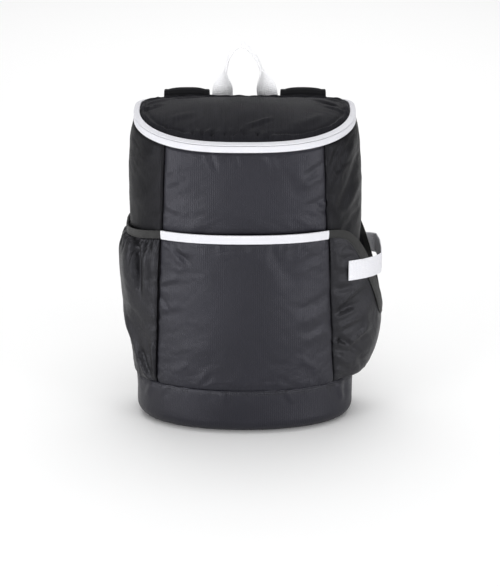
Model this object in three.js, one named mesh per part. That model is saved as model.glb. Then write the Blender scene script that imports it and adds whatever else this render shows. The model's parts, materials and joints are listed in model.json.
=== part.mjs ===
// A cooler backpack: an insulated, round-fronted soft body with a zipped lid, a flat front pocket,
// an elastic pocket on its left, a scooped bottle pocket on its right, a grab handle and two
// shoulder straps. Millimetres, +Z up. The front faces -Y, and the origin is the middle of the base.

import * as THREE from 'three';

// Body
const fullHalfWidth = 143.5;
const frontDepth = 85;
const backDepth = 65;
const backRoundness = 5;
const rimFrontHeight = 366;
const rimRise = 25;
const rimRoundness = 2.4; // of the plan curve that the climb of the zip line follows
const rimClimb = 1.15; // share of the front depth over which the zip line climbs
const wallThickness = 6;
const backPadThickness = 8;
const baseSeamHeight = 59;
const baseEdgeRadius = 17;

// Seams: half widths between the left and right seam
const frontSeamTop = 98;
const frontSeamBase = 112;
const backSeamHalfWidth = 118;

// Zip and lid
const zipBodyTape = 8;
const zipLidTape = 6;
const zipLidRise = 2;
const tapeThickness = 2;
const zipSetBack = 0.5;
const coilWidth = 3;
const coilThickness = 2.2;
const lidThickness = 5;
const lidCrown = 6;
const lidRidge = 1.6;
const lidFall = 2.4; // how late the top falls from its level middle to its sloping edge
const dentWidth = 0.07; // in quarter turns
const sliderWidth = 8;
const sliderThickness = 3;

// Pockets
const clothThickness = 2;
const pocketTop = 264;
const frontTapeHeight = 11;
const frontTapeThickness = 2.6;
const frontPocketFullness = 1.6;
const bindingWidth = 10;
const bindingThickness = 2.8;
const leftPocketBulge = 12;
const leftPocketDip = 9;
const leftMouthEase = 2.4;
const leftPocketFlatness = 0.8; // below 1 the pocket stands out further near its seams
const gatherCount = 9;
const gatherDepth = 1.1;
const gatherStart = 0.55; // share of the pocket's height
const rightPocketBulge = 33;
const rightPocketFlatness = 1.4;
const rightPocketScoop = 118;
const scoopNarrowness = 3.5; // a higher value makes the scoop narrower and its sides steeper
const steepestMouth = 2.6; // limit of the binding's height over its width on a slope
const sideCurve = 1.15; // length of the side between its seams over the body's depth
const foldWidth = 0.035; // share of the pocket's height

// Webbing, handle and straps
const webbingWidth = 26;
const webbingThickness = 2.2;
const pocketStrapHeight = 208.5;
const pocketStrapDraw = 5;
const pocketStrapInset = 0.105; // share of the pocket between its seam and the strap's end
const pocketStrapSewn = 0.88; // swell of the pocket at which the strap leaves it and bridges
const handleHalfSpan = 28.5;
const handleRise = 64;
const handleTail = 46;
const handleStandOff = 3;
const handleThickness = 3.4;
const handleTwistEnd = 0.56; // share of the handle's height at which its sides stand edge-on
const strapCentre = 74;
const strapWidth = 56;
const strapEndWidth = 40;
const strapThickness = 11;
const strapEdgeThinning = 0.55; // share of the thickness lost at the bound edges
const strapTaperStart = 0.55; // share of the strap's length
const strapRise = 6;
const strapSewnLength = 28;
const strapStandOff = 38;
const strapEndHeight = 205;
const adjusterHeight = 22;
const adjusterThickness = 5;
const adjusterRail = 4;
const lowerStrapHalfSpan = 88;
const lowerStrapSewnAbove = 8;
const lowerStrapSlack = 6;

// Clearance between pieces that touch
const gap = 0.3;

const backTop = rimFrontHeight + rimRise;
// The lid tape leans inwards: its lower face lies this far below and further in than its upper one.
const lidTapeLength = Math.hypot(zipLidTape, zipLidRise);
const tapeDrop = (tapeThickness * zipLidTape) / lidTapeLength;
const tapeLean = (tapeThickness * zipLidRise) / lidTapeLength;
const lidTapeFoot = zipBodyTape + gap + tapeDrop;
const zipHeight = lidTapeFoot + zipLidRise;

const colours = {
  shell: { color: 0x34353b, roughness: 0.72, metalness: 0 },
  side: { color: 0x2b2a2c, roughness: 0.75, metalness: 0 },
  lining: { color: 0x3a3b42, roughness: 0.7, metalness: 0 },
  binding: { color: 0x3f3e3a, roughness: 0.8, metalness: 0 },
  white: { color: 0xf1f0f4, roughness: 0.75, metalness: 0 },
  padding: { color: 0x1c1c1f, roughness: 0.85, metalness: 0 },
  plastic: { color: 0x18181a, roughness: 0.45, metalness: 0 },
};

// Plan of the body by height. height is a share of the rim's height, width of the full half
// width, depth of the front and back depths, and roundness is the exponent of the front's curve.
const bodySections = [
  { height: 0.0, width: 0.965, depth: 0.98, roundness: 2.1 },
  { height: 0.16, width: 0.972, depth: 0.99, roundness: 2.1 },
  { height: 0.5, width: 0.988, depth: 1.0, roundness: 2.15 },
  { height: 0.8, width: 1.0, depth: 1.0, roundness: 2.4 },
  { height: 0.94, width: 0.985, depth: 0.99, roundness: 2.6 },
  { height: 1.0, width: 0.962, depth: 0.975, roundness: 2.7 },
  { height: 1.08, width: 0.95, depth: 0.965, roundness: 2.75 },
];

// How far each side pocket stands out, from its bottom seam up. rise is a share of the pocket's
// height and out a share of its bulge.
const leftPocketProfile = [
  { rise: 0.0, out: 0.0 },
  { rise: 0.1, out: 0.06 },
  { rise: 0.37, out: 0.55 },
  { rise: 0.58, out: 0.9 },
  { rise: 0.74, out: 1.0 },
  { rise: 0.86, out: 0.94 },
  { rise: 0.95, out: 0.55 },
  { rise: 1.0, out: 0.0 },
];
const rightPocketProfile = [
  { rise: 0.0, out: 0.0 },
  { rise: 0.012, out: 0.36 },
  { rise: 0.1, out: 0.66 },
  { rise: 0.2, out: 0.85 },
  { rise: 0.36, out: 0.97 },
  { rise: 0.5, out: 1.0 },
  { rise: 0.7, out: 0.95 },
  { rise: 1.0, out: 0.84 },
];

// Wedge folds that start at the front seam of the right pocket. rise is where they start, slope how
// they climb along the pocket, and depth a share of the pocket's bulge.
const wedgeFolds = [
  { rise: 0.22, slope: 0.1, depth: 0.06 },
  { rise: 0.42, slope: -0.14, depth: 0.09 },
  { rise: 0.58, slope: -0.3, depth: 0.08 },
];

// Dents that run into the lid from its front corners. turn is in quarter turns from the front.
const lidDents = [
  { turn: -0.62, depth: 0.3 },
  { turn: 0.5, depth: 0.35 },
  { turn: 0.72, depth: 0.4 },
];

// The lid's rings of points from its edge to its middle. share is how far out a ring lies and ridge
// its share of the turned seam's ridge.
const lidRings = [
  { share: 1.0, ridge: 0 },
  { share: 0.97, ridge: 1 },
  { share: 0.93, ridge: 0 },
  { share: 0.78, ridge: 0 },
  { share: 0.55, ridge: 0 },
  { share: 0.3, ridge: 0 },
  { share: 0.0, ridge: 0 },
];

// The course of the handle above the lid's back edge. across is a share of its half span and rise a
// share of its height: it leans to the left.
const handleCourse = [
  { across: -1.0, rise: 0.0 },
  { across: -0.91, rise: 0.38 },
  { across: -0.82, rise: 0.56 },
  { across: -0.66, rise: 0.8 },
  { across: -0.18, rise: 1.0 },
  { across: 0.42, rise: 0.8 },
  { across: 0.68, rise: 0.56 },
  { across: 0.8, rise: 0.38 },
  { across: 1.0, rise: 0.0 },
];

// The course of a shoulder strap from where it is sewn on. back is a share of its stand-off, rise a
// share of the climb to its top, and drop a share of the fall from its top to its end.
const strapCourse = [
  { back: 0.0, rise: 0.0, drop: 0.0 },
  { back: 0.03, rise: 0.72, drop: 0.0 },
  { back: 0.28, rise: 1.0, drop: 0.0 },
  { back: 0.72, rise: 1.0, drop: 0.07 },
  { back: 1.0, rise: 1.0, drop: 0.35 },
  { back: 0.92, rise: 1.0, drop: 0.66 },
  { back: 0.62, rise: 1.0, drop: 1.0 },
];

const lerp = THREE.MathUtils.lerp;
const quarterTurn = Math.PI / 2;

function signedPower(value, power) {
  return Math.sign(value) * Math.abs(value) ** power;
}

// A value between the rows of a table, by the named columns.
function tableValue(table, key, column, at) {
  const last = table.length - 1;
  if (at <= table[0][key]) return table[0][column];
  if (at >= table[last][key]) return table[last][column];
  const next = table.findIndex((row) => row[key] > at);
  const low = table[next - 1];
  const high = table[next];
  const share = (at - low[key]) / (high[key] - low[key]);
  return lerp(low[column], high[column], share);
}

// The plan point of a curve with separate front and back depths. turn 0 is the middle of the front
// and a quarter turn is the right side.
function planPoint(turn, halfWidth, halfFront, halfBack, frontRoundness) {
  const facesFront = Math.cos(turn) > 0;
  const power = 2 / (facesFront ? frontRoundness : backRoundness);
  const depth = facesFront ? halfFront : halfBack;
  return new THREE.Vector2(
    halfWidth * signedPower(Math.sin(turn), power),
    -depth * signedPower(Math.cos(turn), power),
  );
}

// The zip line climbs from the front to the sides and stays level round the back.
function rimHeight(turn) {
  const plan = planPoint(turn, fullHalfWidth, frontDepth, backDepth, rimRoundness);
  const share = Math.min(1, (plan.y + frontDepth) / (frontDepth * rimClimb));
  return rimFrontHeight + rimRise * Math.sin(quarterTurn * share);
}

// A point of the body's outer face, or out millimetres outside it.
function bodyPoint(turn, z, out = 0) {
  const at = z / rimHeight(turn);
  const width = fullHalfWidth * tableValue(bodySections, 'height', 'width', at);
  const depthShare = tableValue(bodySections, 'height', 'depth', at);
  const roundness = tableValue(bodySections, 'height', 'roundness', at);
  const front = frontDepth * depthShare;
  const back = backDepth * depthShare;
  const plan = planPoint(turn, width + out, front + out, back + out, roundness);
  return new THREE.Vector3(plan.x, plan.y, z);
}

// The turn at which the body's face stands at a half width x, on the front or on the back.
function turnAtX(x, z, onBack = false) {
  let turn = onBack ? Math.PI * 0.8 : quarterTurn * 0.6;
  for (let pass = 0; pass < 5; pass++) {
    const at = z / rimHeight(turn);
    const width = fullHalfWidth * tableValue(bodySections, 'height', 'width', at);
    const front = tableValue(bodySections, 'height', 'roundness', at);
    const roundness = onBack ? backRoundness : front;
    const angle = Math.asin(Math.min(1, x / width) ** (roundness / 2));
    turn = onBack ? Math.PI - angle : angle;
  }
  return turn;
}

// The seams as turns on the right half, moved by shift along the front.
function frontSeam(z, shift) {
  const share = (z - baseSeamHeight) / (rimFrontHeight - baseSeamHeight);
  return turnAtX(lerp(frontSeamBase, frontSeamTop, share) + shift, z);
}

function backSeam(z, shift) {
  return turnAtX(backSeamHalfWidth + shift, z, true);
}

// How far back the back face lies at a half width x, for what is sewn flat on it.
function backFace(x, z) {
  return bodyPoint(turnAtX(x, z, true), z).y;
}

// A closed body between two grids of points, outer[column][row] and inner[column][row]. Columns run
// to the right and rows up, seen from outside. A triangle with two corners on one point is left out.
function slab(outer, inner, wraps = false) {
  const positions = [];
  function triangle(a, b, c) {
    if (a.distanceTo(b) < 1e-4 || b.distanceTo(c) < 1e-4 || c.distanceTo(a) < 1e-4) return;
    for (const corner of [a, b, c]) positions.push(corner.x, corner.y, corner.z);
  }
  function quad(a, b, c, d) {
    triangle(a, b, c);
    triangle(a, c, d);
  }
  const columns = outer.length;
  const top = outer[0].length - 1;
  const spans = wraps ? columns : columns - 1;
  for (let i = 0; i < spans; i++) {
    const j = (i + 1) % columns;
    for (let row = 0; row < top; row++) {
      quad(outer[i][row], outer[j][row], outer[j][row + 1], outer[i][row + 1]);
      quad(inner[j][row], inner[i][row], inner[i][row + 1], inner[j][row + 1]);
    }
    quad(inner[i][0], inner[j][0], outer[j][0], outer[i][0]);
    quad(outer[i][top], outer[j][top], inner[j][top], inner[i][top]);
  }
  if (!wraps) {
    const end = columns - 1;
    for (let row = 0; row < top; row++) {
      quad(inner[0][row], outer[0][row], outer[0][row + 1], inner[0][row + 1]);
      quad(outer[end][row], inner[end][row], inner[end][row + 1], outer[end][row + 1]);
    }
  }
  const geometry = new THREE.BufferGeometry();
  geometry.setAttribute('position', new THREE.Float32BufferAttribute(positions, 3));
  geometry.computeVertexNormals();
  return geometry;
}

function grid(columns, rows, pointAt, wraps = false) {
  const columnCount = wraps ? columns : columns + 1;
  return Array.from({ length: columnCount }, (_, i) =>
    Array.from({ length: rows + 1 }, (_, j) => pointAt(i / columns, j / rows)),
  );
}

// The grid moved inwards, square to its own surface.
function movedInwards(points, thickness) {
  const lastColumn = points.length - 1;
  const lastRow = points[0].length - 1;
  return points.map((column, i) =>
    column.map((point, j) => {
      const left = points[Math.max(0, i - 1)][j];
      const right = points[Math.min(lastColumn, i + 1)][j];
      const below = column[Math.max(0, j - 1)];
      const above = column[Math.min(lastRow, j + 1)];
      const across = new THREE.Vector3().subVectors(right, left);
      const up = new THREE.Vector3().subVectors(above, below);
      const outward = across.cross(up).normalize();
      return point.clone().addScaledVector(outward, -thickness);
    }),
  );
}

function mesh(name, geometry, finish) {
  const made = new THREE.Mesh(geometry, new THREE.MeshStandardMaterial(colours[finish]));
  made.name = name;
  return made;
}

// The turn and height of a point of a panel whose left and right edges are given by height, and
// whose bottom and top edges are given by turn.
function panelPlace(panel, across, up) {
  let turn = lerp(panel.left(pocketTop), panel.right(pocketTop), across);
  let z = 0;
  for (let pass = 0; pass < 4; pass++) {
    z = lerp(panel.bottom(turn), panel.top(turn), up);
    turn = lerp(panel.left(z), panel.right(z), across);
  }
  return { turn, z };
}

// A wall of the body: its outer face is the body's own.
function bodyPanel(name, panel, thickness, columns, rows, finish) {
  const face = (out) =>
    grid(columns, rows, (across, up) => {
      const place = panelPlace(panel, across, up);
      return bodyPoint(place.turn, place.z, out);
    });
  return mesh(name, slab(face(0), face(-thickness)), finish);
}

// A sheet that stands out from the body's face by stand(across, up, z).
function clothPanel(name, panel, stand, thickness, columns, rows, finish) {
  const face = grid(columns, rows, (across, up) => {
    const place = panelPlace(panel, across, up);
    return bodyPoint(place.turn, place.z, stand(across, up, place.z) + gap + thickness);
  });
  return mesh(name, slab(face, movedInwards(face, thickness)), finish);
}

function frontEdges(shift) {
  return { left: (z) => -frontSeam(z, shift), right: (z) => frontSeam(z, shift) };
}

function rightSideEdges(shift) {
  return { left: (z) => frontSeam(z, shift), right: (z) => backSeam(z, shift) };
}

function leftSideEdges(shift) {
  return { left: (z) => -backSeam(z, shift), right: (z) => -frontSeam(z, shift) };
}

function level(height) {
  return () => height;
}

function bodyWalls() {
  const half = gap / 2;
  const front = frontEdges(-half);
  const bottom = level(baseSeamHeight + half);
  const rim = (turn) => rimHeight(turn) - half;
  const back = {
    left: (z) => backSeam(z, -half),
    right: (z) => 2 * Math.PI - backSeam(z, -half),
    bottom,
    top: rim,
  };
  const lower = { ...front, bottom, top: level(pocketTop) };
  const upper = { ...front, bottom: level(pocketTop + gap), top: rim };
  const leftSide = { ...leftSideEdges(half), bottom, top: rim };
  const rightSide = { ...rightSideEdges(half), bottom, top: rim };
  return [
    bodyPanel('front_panel_lower', lower, wallThickness, 12, 5, 'shell'),
    bodyPanel('front_panel_upper', upper, wallThickness, 12, 4, 'shell'),
    bodyPanel('side_panel_left', leftSide, wallThickness, 10, 8, 'side'),
    bodyPanel('side_panel_right', rightSide, wallThickness, 10, 8, 'side'),
    bodyPanel('back_panel', back, backPadThickness, 10, 8, 'padding'),
  ];
}

// The base: a flat floor, a rounded lower edge and a low wall up to the base seam.
function basePanel() {
  const arcSteps = 4;
  const rows = [{ inset: Infinity, z: 0 }];
  for (let i = 0; i <= arcSteps; i++) {
    const angle = (i / arcSteps) * quarterTurn;
    const inset = baseEdgeRadius * (1 - Math.sin(angle));
    rows.push({ inset, z: baseEdgeRadius * (1 - Math.cos(angle)) });
  }
  rows.push({ inset: 0, z: baseSeamHeight - gap / 2 });
  const floor = (turn, row, thickness) => {
    const z = row === rows[rows.length - 1] ? row.z : Math.max(row.z, thickness);
    if (row.inset === Infinity) return new THREE.Vector3(0, 0, z);
    return bodyPoint(turn, z, -Math.max(row.inset, thickness));
  };
  const face = (thickness) =>
    grid(40, rows.length - 1, (across, up) =>
      floor((across * 2 - 1) * Math.PI, rows[Math.round(up * (rows.length - 1))], thickness), true);
  return mesh('base_panel', slab(face(0), face(wallThickness), true), 'shell');
}

// A band round the rim, drawn by a short profile of points with an inset and a rise above the rim.
function rimBand(name, from, to, profile, thickness, columns, finish) {
  const face = grid(columns, profile.length - 1, (across, up) => {
    const turn = lerp(from, to, across);
    const point = profile[Math.round(up * (profile.length - 1))];
    return bodyPoint(turn, rimHeight(turn) + point.rise, -point.inset);
  });
  return mesh(name, slab(face, movedInwards(face, thickness)), finish);
}

function zipAndHinge() {
  const end = backSeam(backTop, gap);
  const hingeStart = backSeam(backTop, -2 * gap);
  const outer = zipSetBack;
  const inner = zipSetBack + zipLidTape;
  const bodyTape = [
    { inset: outer, rise: gap },
    { inset: outer, rise: zipBodyTape },
  ];
  const lidTape = [
    { inset: outer, rise: lidTapeFoot },
    { inset: inner, rise: zipHeight },
  ];
  const hinge = [
    { inset: outer, rise: gap },
    { inset: outer, rise: lidTapeFoot },
    { inset: inner, rise: zipHeight },
  ];
  const coilInset = outer + tapeThickness + gap;
  const coil = [
    { inset: coilInset, rise: zipBodyTape - coilWidth - tapeThickness },
    { inset: coilInset, rise: zipBodyTape - tapeThickness },
  ];
  return [
    rimBand('zip_tape_body', -end, end, bodyTape, tapeThickness, 48, 'white'),
    rimBand('zip_tape_lid', -end, end, lidTape, tapeThickness, 48, 'white'),
    rimBand('zip_coil', -end, end, coil, coilThickness, 48, 'white'),
    rimBand('lid_hinge', hingeStart, 2 * Math.PI - hingeStart, hinge, tapeThickness, 10, 'shell'),
  ];
}

// One plain slider at the right-hand end of the zip, behind the bag's back corner.
function zipSlider() {
  const turn = backSeam(backTop, 0) - (2 * sliderWidth) / fullHalfWidth;
  const face = (out) =>
    grid(1, 1, (across, up) => {
      const z = rimHeight(turn) + lerp(zipBodyTape / 4, zipBodyTape, up);
      const shift = (across - 0.5) * (sliderWidth / fullHalfWidth);
      return bodyPoint(turn + shift, z, out - zipSetBack + gap);
    });
  return mesh('zip_slider', slab(face(sliderThickness), face(0)), 'plastic');
}

// The height of the lid's top face, from its middle (share 0) to its edge (share 1).
function lidHeight(turn, share) {
  const edge = rimHeight(turn) + zipHeight;
  const middle = backTop + zipHeight;
  const crown = lidCrown * (1 - share ** 2);
  const dents = lidDents.reduce((sum, dent) => {
    const away = (turn / quarterTurn - dent.turn) / dentWidth;
    return sum + dent.depth * lidCrown * Math.exp(-away * away) * share ** 4 * (1 - share ** 8);
  }, 0);
  return lerp(middle, edge, share ** lidFall) + crown - dents;
}

// The domed lid, with the raised ridge of the turned seam just inside its edge.
function lid() {
  const edgeInset = zipSetBack + zipLidTape + tapeLean + gap;
  const face = (thickness) =>
    grid(52, lidRings.length - 1, (across, up) => {
      const turn = (across * 2 - 1) * Math.PI;
      const ring = lidRings[Math.round(up * (lidRings.length - 1))];
      const edge = bodyPoint(turn, rimHeight(turn) + zipHeight, -edgeInset);
      const z = lidHeight(turn, ring.share) + lidRidge * ring.ridge - thickness;
      return new THREE.Vector3(edge.x * ring.share, edge.y * ring.share, z);
    }, true);
  return mesh('lid', slab(face(0), face(lidThickness), true), 'lining');
}

function frontPocket() {
  const edges = frontEdges(-gap / 2);
  const tapeBottom = pocketTop - frontTapeHeight;
  const fullness = (across, rise) =>
    frontPocketFullness * Math.sin(Math.PI * across) * Math.sin(quarterTurn * rise);
  const pocketRise = (z) => (z - baseSeamHeight) / (pocketTop - baseSeamHeight);
  const stand = (across, up, z) => fullness(across, pocketRise(z));
  const cloth = { ...edges, bottom: level(baseSeamHeight + gap / 2), top: level(tapeBottom - gap) };
  const tape = { ...edges, bottom: level(tapeBottom), top: level(pocketTop) };
  return [
    clothPanel('front_pocket', cloth, stand, clothThickness, 14, 6, 'shell'),
    clothPanel('front_pocket_tape', tape, stand, frontTapeThickness, 14, 1, 'white'),
  ];
}

// The left pocket: gathered under an elastic binding that dips at the side and closes on the body.
function leftPocket() {
  const edges = leftSideEdges(gap / 2);
  const seamTurn = frontSeam(pocketTop, 0);
  const endTurn = backSeam(pocketTop, 0);
  const acrossAt = (turn) => (-turn - seamTurn) / (endTurn - seamTurn);
  const mouth = (turn) => {
    const across = THREE.MathUtils.clamp(acrossAt(turn), 0, 1);
    return pocketTop - leftPocketDip * Math.sin(Math.PI * across);
  };
  const height = pocketTop - leftPocketDip - bindingWidth - baseSeamHeight;
  const stand = (across, up, z) => {
    const rise = (z - baseSeamHeight) / height;
    const swell = Math.sin(Math.PI * across) ** leftPocketFlatness;
    const out = leftPocketBulge * tableValue(leftPocketProfile, 'rise', 'out', rise);
    const ease = leftMouthEase * Math.min(1, rise);
    const gathers = Math.cos(2 * Math.PI * gatherCount * across) - 1;
    const fade = Math.min(1, 4 * Math.max(0, rise - gatherStart) ** 2);
    return swell * (out + ease + gatherDepth * (1 + (gathers * fade) / 2));
  };
  const mouthStand = (across) =>
    Math.sin(Math.PI * across) ** leftPocketFlatness * (leftMouthEase + gatherDepth);
  const cloth = {
    ...edges,
    bottom: level(baseSeamHeight + gap / 2),
    top: (turn) => mouth(turn) - bindingWidth - gap,
  };
  const binding = { ...edges, bottom: (turn) => mouth(turn) - bindingWidth, top: mouth };
  return [
    clothPanel('left_pocket', cloth, stand, clothThickness, 36, 10, 'side'),
    clothPanel('left_pocket_binding', binding, mouthStand, bindingThickness, 36, 1, 'binding'),
  ];
}

// How far the right pocket stands out at a share across it and a height.
function rightStand(across, z) {
  const rise = (z - baseSeamHeight) / (pocketTop - baseSeamHeight);
  const swell = Math.sin(Math.PI * across) ** rightPocketFlatness;
  const folds = wedgeFolds.reduce((sum, fold) => {
    const away = (rise - fold.rise - fold.slope * across) / foldWidth;
    const fade = Math.sin(Math.PI * Math.min(1, across * 2)) * (across < 0.5 ? 1 : 0);
    return sum + fold.depth * Math.exp(-away * away) * fade;
  }, 0);
  const out = tableValue(rightPocketProfile, 'rise', 'out', rise);
  return rightPocketBulge * swell * (out - folds);
}

// The scooped mouth of the right pocket: high at both seams and low at the outer side.
function scoopDrop(across) {
  const share = THREE.MathUtils.clamp(across, 0, 1);
  return rightPocketScoop * Math.sin(Math.PI * share) ** scoopNarrowness;
}

function rightPocket() {
  const edges = rightSideEdges(gap / 2);
  const seamTurn = frontSeam(pocketTop, 0);
  const endTurn = backSeam(pocketTop, 0);
  const acrossAt = (turn) => THREE.MathUtils.clamp((turn - seamTurn) / (endTurn - seamTurn), 0, 1);
  const sideLength = (frontDepth + backDepth) * sideCurve;
  const steepness = (turn) => {
    const across = acrossAt(turn);
    const step = 0.01;
    const slope = (scoopDrop(across + step) - scoopDrop(across - step)) / (2 * step * sideLength);
    return Math.min(steepestMouth, Math.hypot(1, slope));
  };
  const mouth = (turn) => pocketTop - scoopDrop(acrossAt(turn));
  const bindingBottom = (turn) => mouth(turn) - bindingWidth * steepness(turn);
  const clothTop = (turn) => bindingBottom(turn) - 2 * gap * steepness(turn);
  const cloth = { ...edges, bottom: level(baseSeamHeight), top: clothTop };
  const binding = { ...edges, bottom: bindingBottom, top: mouth };
  const stand = (across, up, z) => rightStand(across, z);
  const rowShares = [0, 0.03, 0.1, 0.19, 0.28, 0.38, 0.48, 0.58, 0.7, 0.84, 1];
  const face = grid(30, rowShares.length - 1, (across, up) => {
    const place = panelPlace(cloth, across, rowShares[Math.round(up * (rowShares.length - 1))]);
    return bodyPoint(place.turn, place.z, stand(across, up, place.z) + gap + clothThickness);
  });
  return [
    mesh('right_pocket', slab(face, movedInwards(face, clothThickness)), 'side'),
    clothPanel('right_pocket_binding', binding, stand, bindingThickness, 30, 2, 'binding'),
  ];
}

// The white webbing that bridges the scoop, sewn to the pocket's front and rear walls.
function rightPocketStrap() {
  const half = webbingWidth / 2;
  const start = pocketStrapInset;
  const edges = {
    left: (z) => lerp(frontSeam(z, 0), backSeam(z, 0), start),
    right: (z) => lerp(frontSeam(z, 0), backSeam(z, 0), 1 - start),
  };
  const bottom = level(pocketStrapHeight - half);
  const top = level(pocketStrapHeight + half);
  const stand = (share, up, z) => {
    const across = lerp(start, 1 - start, share);
    const bridge = THREE.MathUtils.smoothstep(Math.sin(Math.PI * across), pocketStrapSewn, 1);
    const over = bindingThickness + 2 * gap;
    return rightStand(across, z) + over - pocketStrapDraw * bridge;
  };
  const strap = { ...edges, bottom, top };
  return clothPanel('right_pocket_strap', strap, stand, webbingThickness, 20, 1, 'white');
}

// A flat band along a curve. widthAt and thicknessAt give its size at a share of its length, and
// widthDirection the way its width points there.
function band(name, curve, steps, across, widthAt, thicknessAt, widthDirection, finish) {
  const faces = [[], []];
  for (let i = 0; i <= steps; i++) {
    const share = i / steps;
    const centre = curve.getPointAt(share);
    const tangent = curve.getTangentAt(share);
    const side = widthDirection(share).clone();
    side.addScaledVector(tangent, -side.dot(tangent)).normalize();
    const normal = new THREE.Vector3().crossVectors(side, tangent);
    [0.5, -0.5].forEach((half, index) => {
      const row = [];
      for (let j = 0; j <= across; j++) {
        const out = (j / across - 0.5) * 2;
        const thickness = thicknessAt(share, out);
        const point = centre.clone().addScaledVector(side, (out * widthAt(share)) / 2);
        row.push(point.addScaledVector(normal, half * thickness));
      }
      faces[index].push(row);
    });
  }
  return mesh(name, slab(faces[1], faces[0]), finish);
}

// The grab handle: a loop of webbing sewn flat on the back, which turns edge-on towards its top.
function grabHandle() {
  const lidBack = backTop + zipHeight;
  const sewnAt = (z) => backFace(handleHalfSpan - webbingWidth / 2, z) + gap + handleThickness / 2;
  const loop = handleCourse.map((point) => new THREE.Vector3(
    point.across * handleHalfSpan,
    sewnAt(backTop) + handleStandOff * point.rise,
    lidBack + point.rise * handleRise,
  ));
  const foot = lidBack - handleTail;
  const leftFoot = new THREE.Vector3(-handleHalfSpan, sewnAt(foot), foot);
  const rightFoot = new THREE.Vector3(handleHalfSpan, sewnAt(foot), foot);
  const curve = new THREE.CatmullRomCurve3([leftFoot, ...loop, rightFoot], false, 'centripetal');
  const direction = (share) => {
    const rise = (curve.getPointAt(share).z - lidBack) / handleRise;
    const twist = quarterTurn * THREE.MathUtils.smoothstep(rise, 0, handleTwistEnd);
    const facing = share < 0.5 ? 1 : -1;
    return new THREE.Vector3(Math.cos(twist) * facing, -Math.sin(twist), 0);
  };
  const wide = () => webbingWidth;
  const thick = () => handleThickness;
  return band('grab_handle', curve, 40, 2, wide, thick, direction, 'white');
}

// One shoulder strap, its adjuster and its lower webbing. side is -1 for the left, 1 for the right.
function shoulderStrap(side, name) {
  const halfThick = strapThickness / 2;
  const sewnHeight = backTop - strapSewnLength;
  const sewnAt = backFace(strapCentre - strapWidth / 2, sewnHeight) + gap + halfThick;
  const archTop = backTop + zipHeight + strapRise - halfThick;
  const strapPoints = strapCourse.map((point) => new THREE.Vector3(
    side * strapCentre,
    sewnAt + point.back * strapStandOff,
    lerp(sewnHeight, archTop, point.rise) - point.drop * (archTop - strapEndHeight),
  ));
  const strapCurve = new THREE.CatmullRomCurve3(strapPoints, false, 'centripetal');
  const sideways = () => new THREE.Vector3(1, 0, 0);
  const narrowing = (share) => THREE.MathUtils.smoothstep(share, strapTaperStart, 1);
  const strapWide = (share) => lerp(strapWidth, strapEndWidth, narrowing(share));
  const strapThick = (share, out) => strapThickness * (1 - strapEdgeThinning * Math.abs(out) ** 3);
  const strap = band(
    `shoulder_strap_${name}`, strapCurve, 24, 6, strapWide, strapThick, sideways, 'padding',
  );

  const end = strapPoints[strapPoints.length - 1];
  const heading = strapCurve.getTangentAt(1);
  const adjusterTop = end.clone().addScaledVector(heading, gap);
  const adjusterBottom = adjusterTop.clone().addScaledVector(heading, adjusterHeight);
  const adjusterCurve = new THREE.LineCurve3(adjusterTop, adjusterBottom);
  const adjusterWide = () => webbingWidth + 2 * adjusterRail;
  const adjusterThick = () => adjusterThickness;
  const adjuster = band(
    `strap_adjuster_${name}`, adjusterCurve, 2, 1, adjusterWide, adjusterThick, sideways, 'plastic',
  );

  const webbingStart = adjusterBottom.clone().addScaledVector(heading, 2 * gap);
  const anchorHeight = baseSeamHeight + lowerStrapSewnAbove;
  const innerEdge = lowerStrapHalfSpan - webbingWidth / 2;
  const anchor = new THREE.Vector3(
    side * lowerStrapHalfSpan,
    backFace(innerEdge, anchorHeight) + gap + webbingThickness / 2,
    anchorHeight,
  );
  const webbingPoints = [
    webbingStart,
    webbingStart.clone().addScaledVector(heading, webbingWidth / 4),
    webbingStart.clone().lerp(anchor, 0.35).add(new THREE.Vector3(0, lowerStrapSlack, 0)),
    webbingStart.clone().lerp(anchor, 0.72).add(new THREE.Vector3(0, lowerStrapSlack / 2, 0)),
    anchor.clone().add(new THREE.Vector3(0, gap, webbingWidth / 2)),
    anchor,
  ];
  const webbingCurve = new THREE.CatmullRomCurve3(webbingPoints, false, 'centripetal');
  const webbingWide = () => webbingWidth;
  const webbingThick = () => webbingThickness;
  const webbing = band(
    `strap_webbing_${name}`, webbingCurve, 16, 2, webbingWide, webbingThick, sideways, 'padding',
  );
  return [strap, adjuster, webbing];
}

const group = new THREE.Group();
group.name = 'cooler_backpack';
group.add(
  basePanel(),
  ...bodyWalls(),
  lid(),
  ...zipAndHinge(),
  zipSlider(),
  ...frontPocket(),
  ...leftPocket(),
  ...rightPocket(),
  rightPocketStrap(),
  grabHandle(),
  ...shoulderStrap(-1, 'left'),
  ...shoulderStrap(1, 'right'),
);

export default group;
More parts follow.
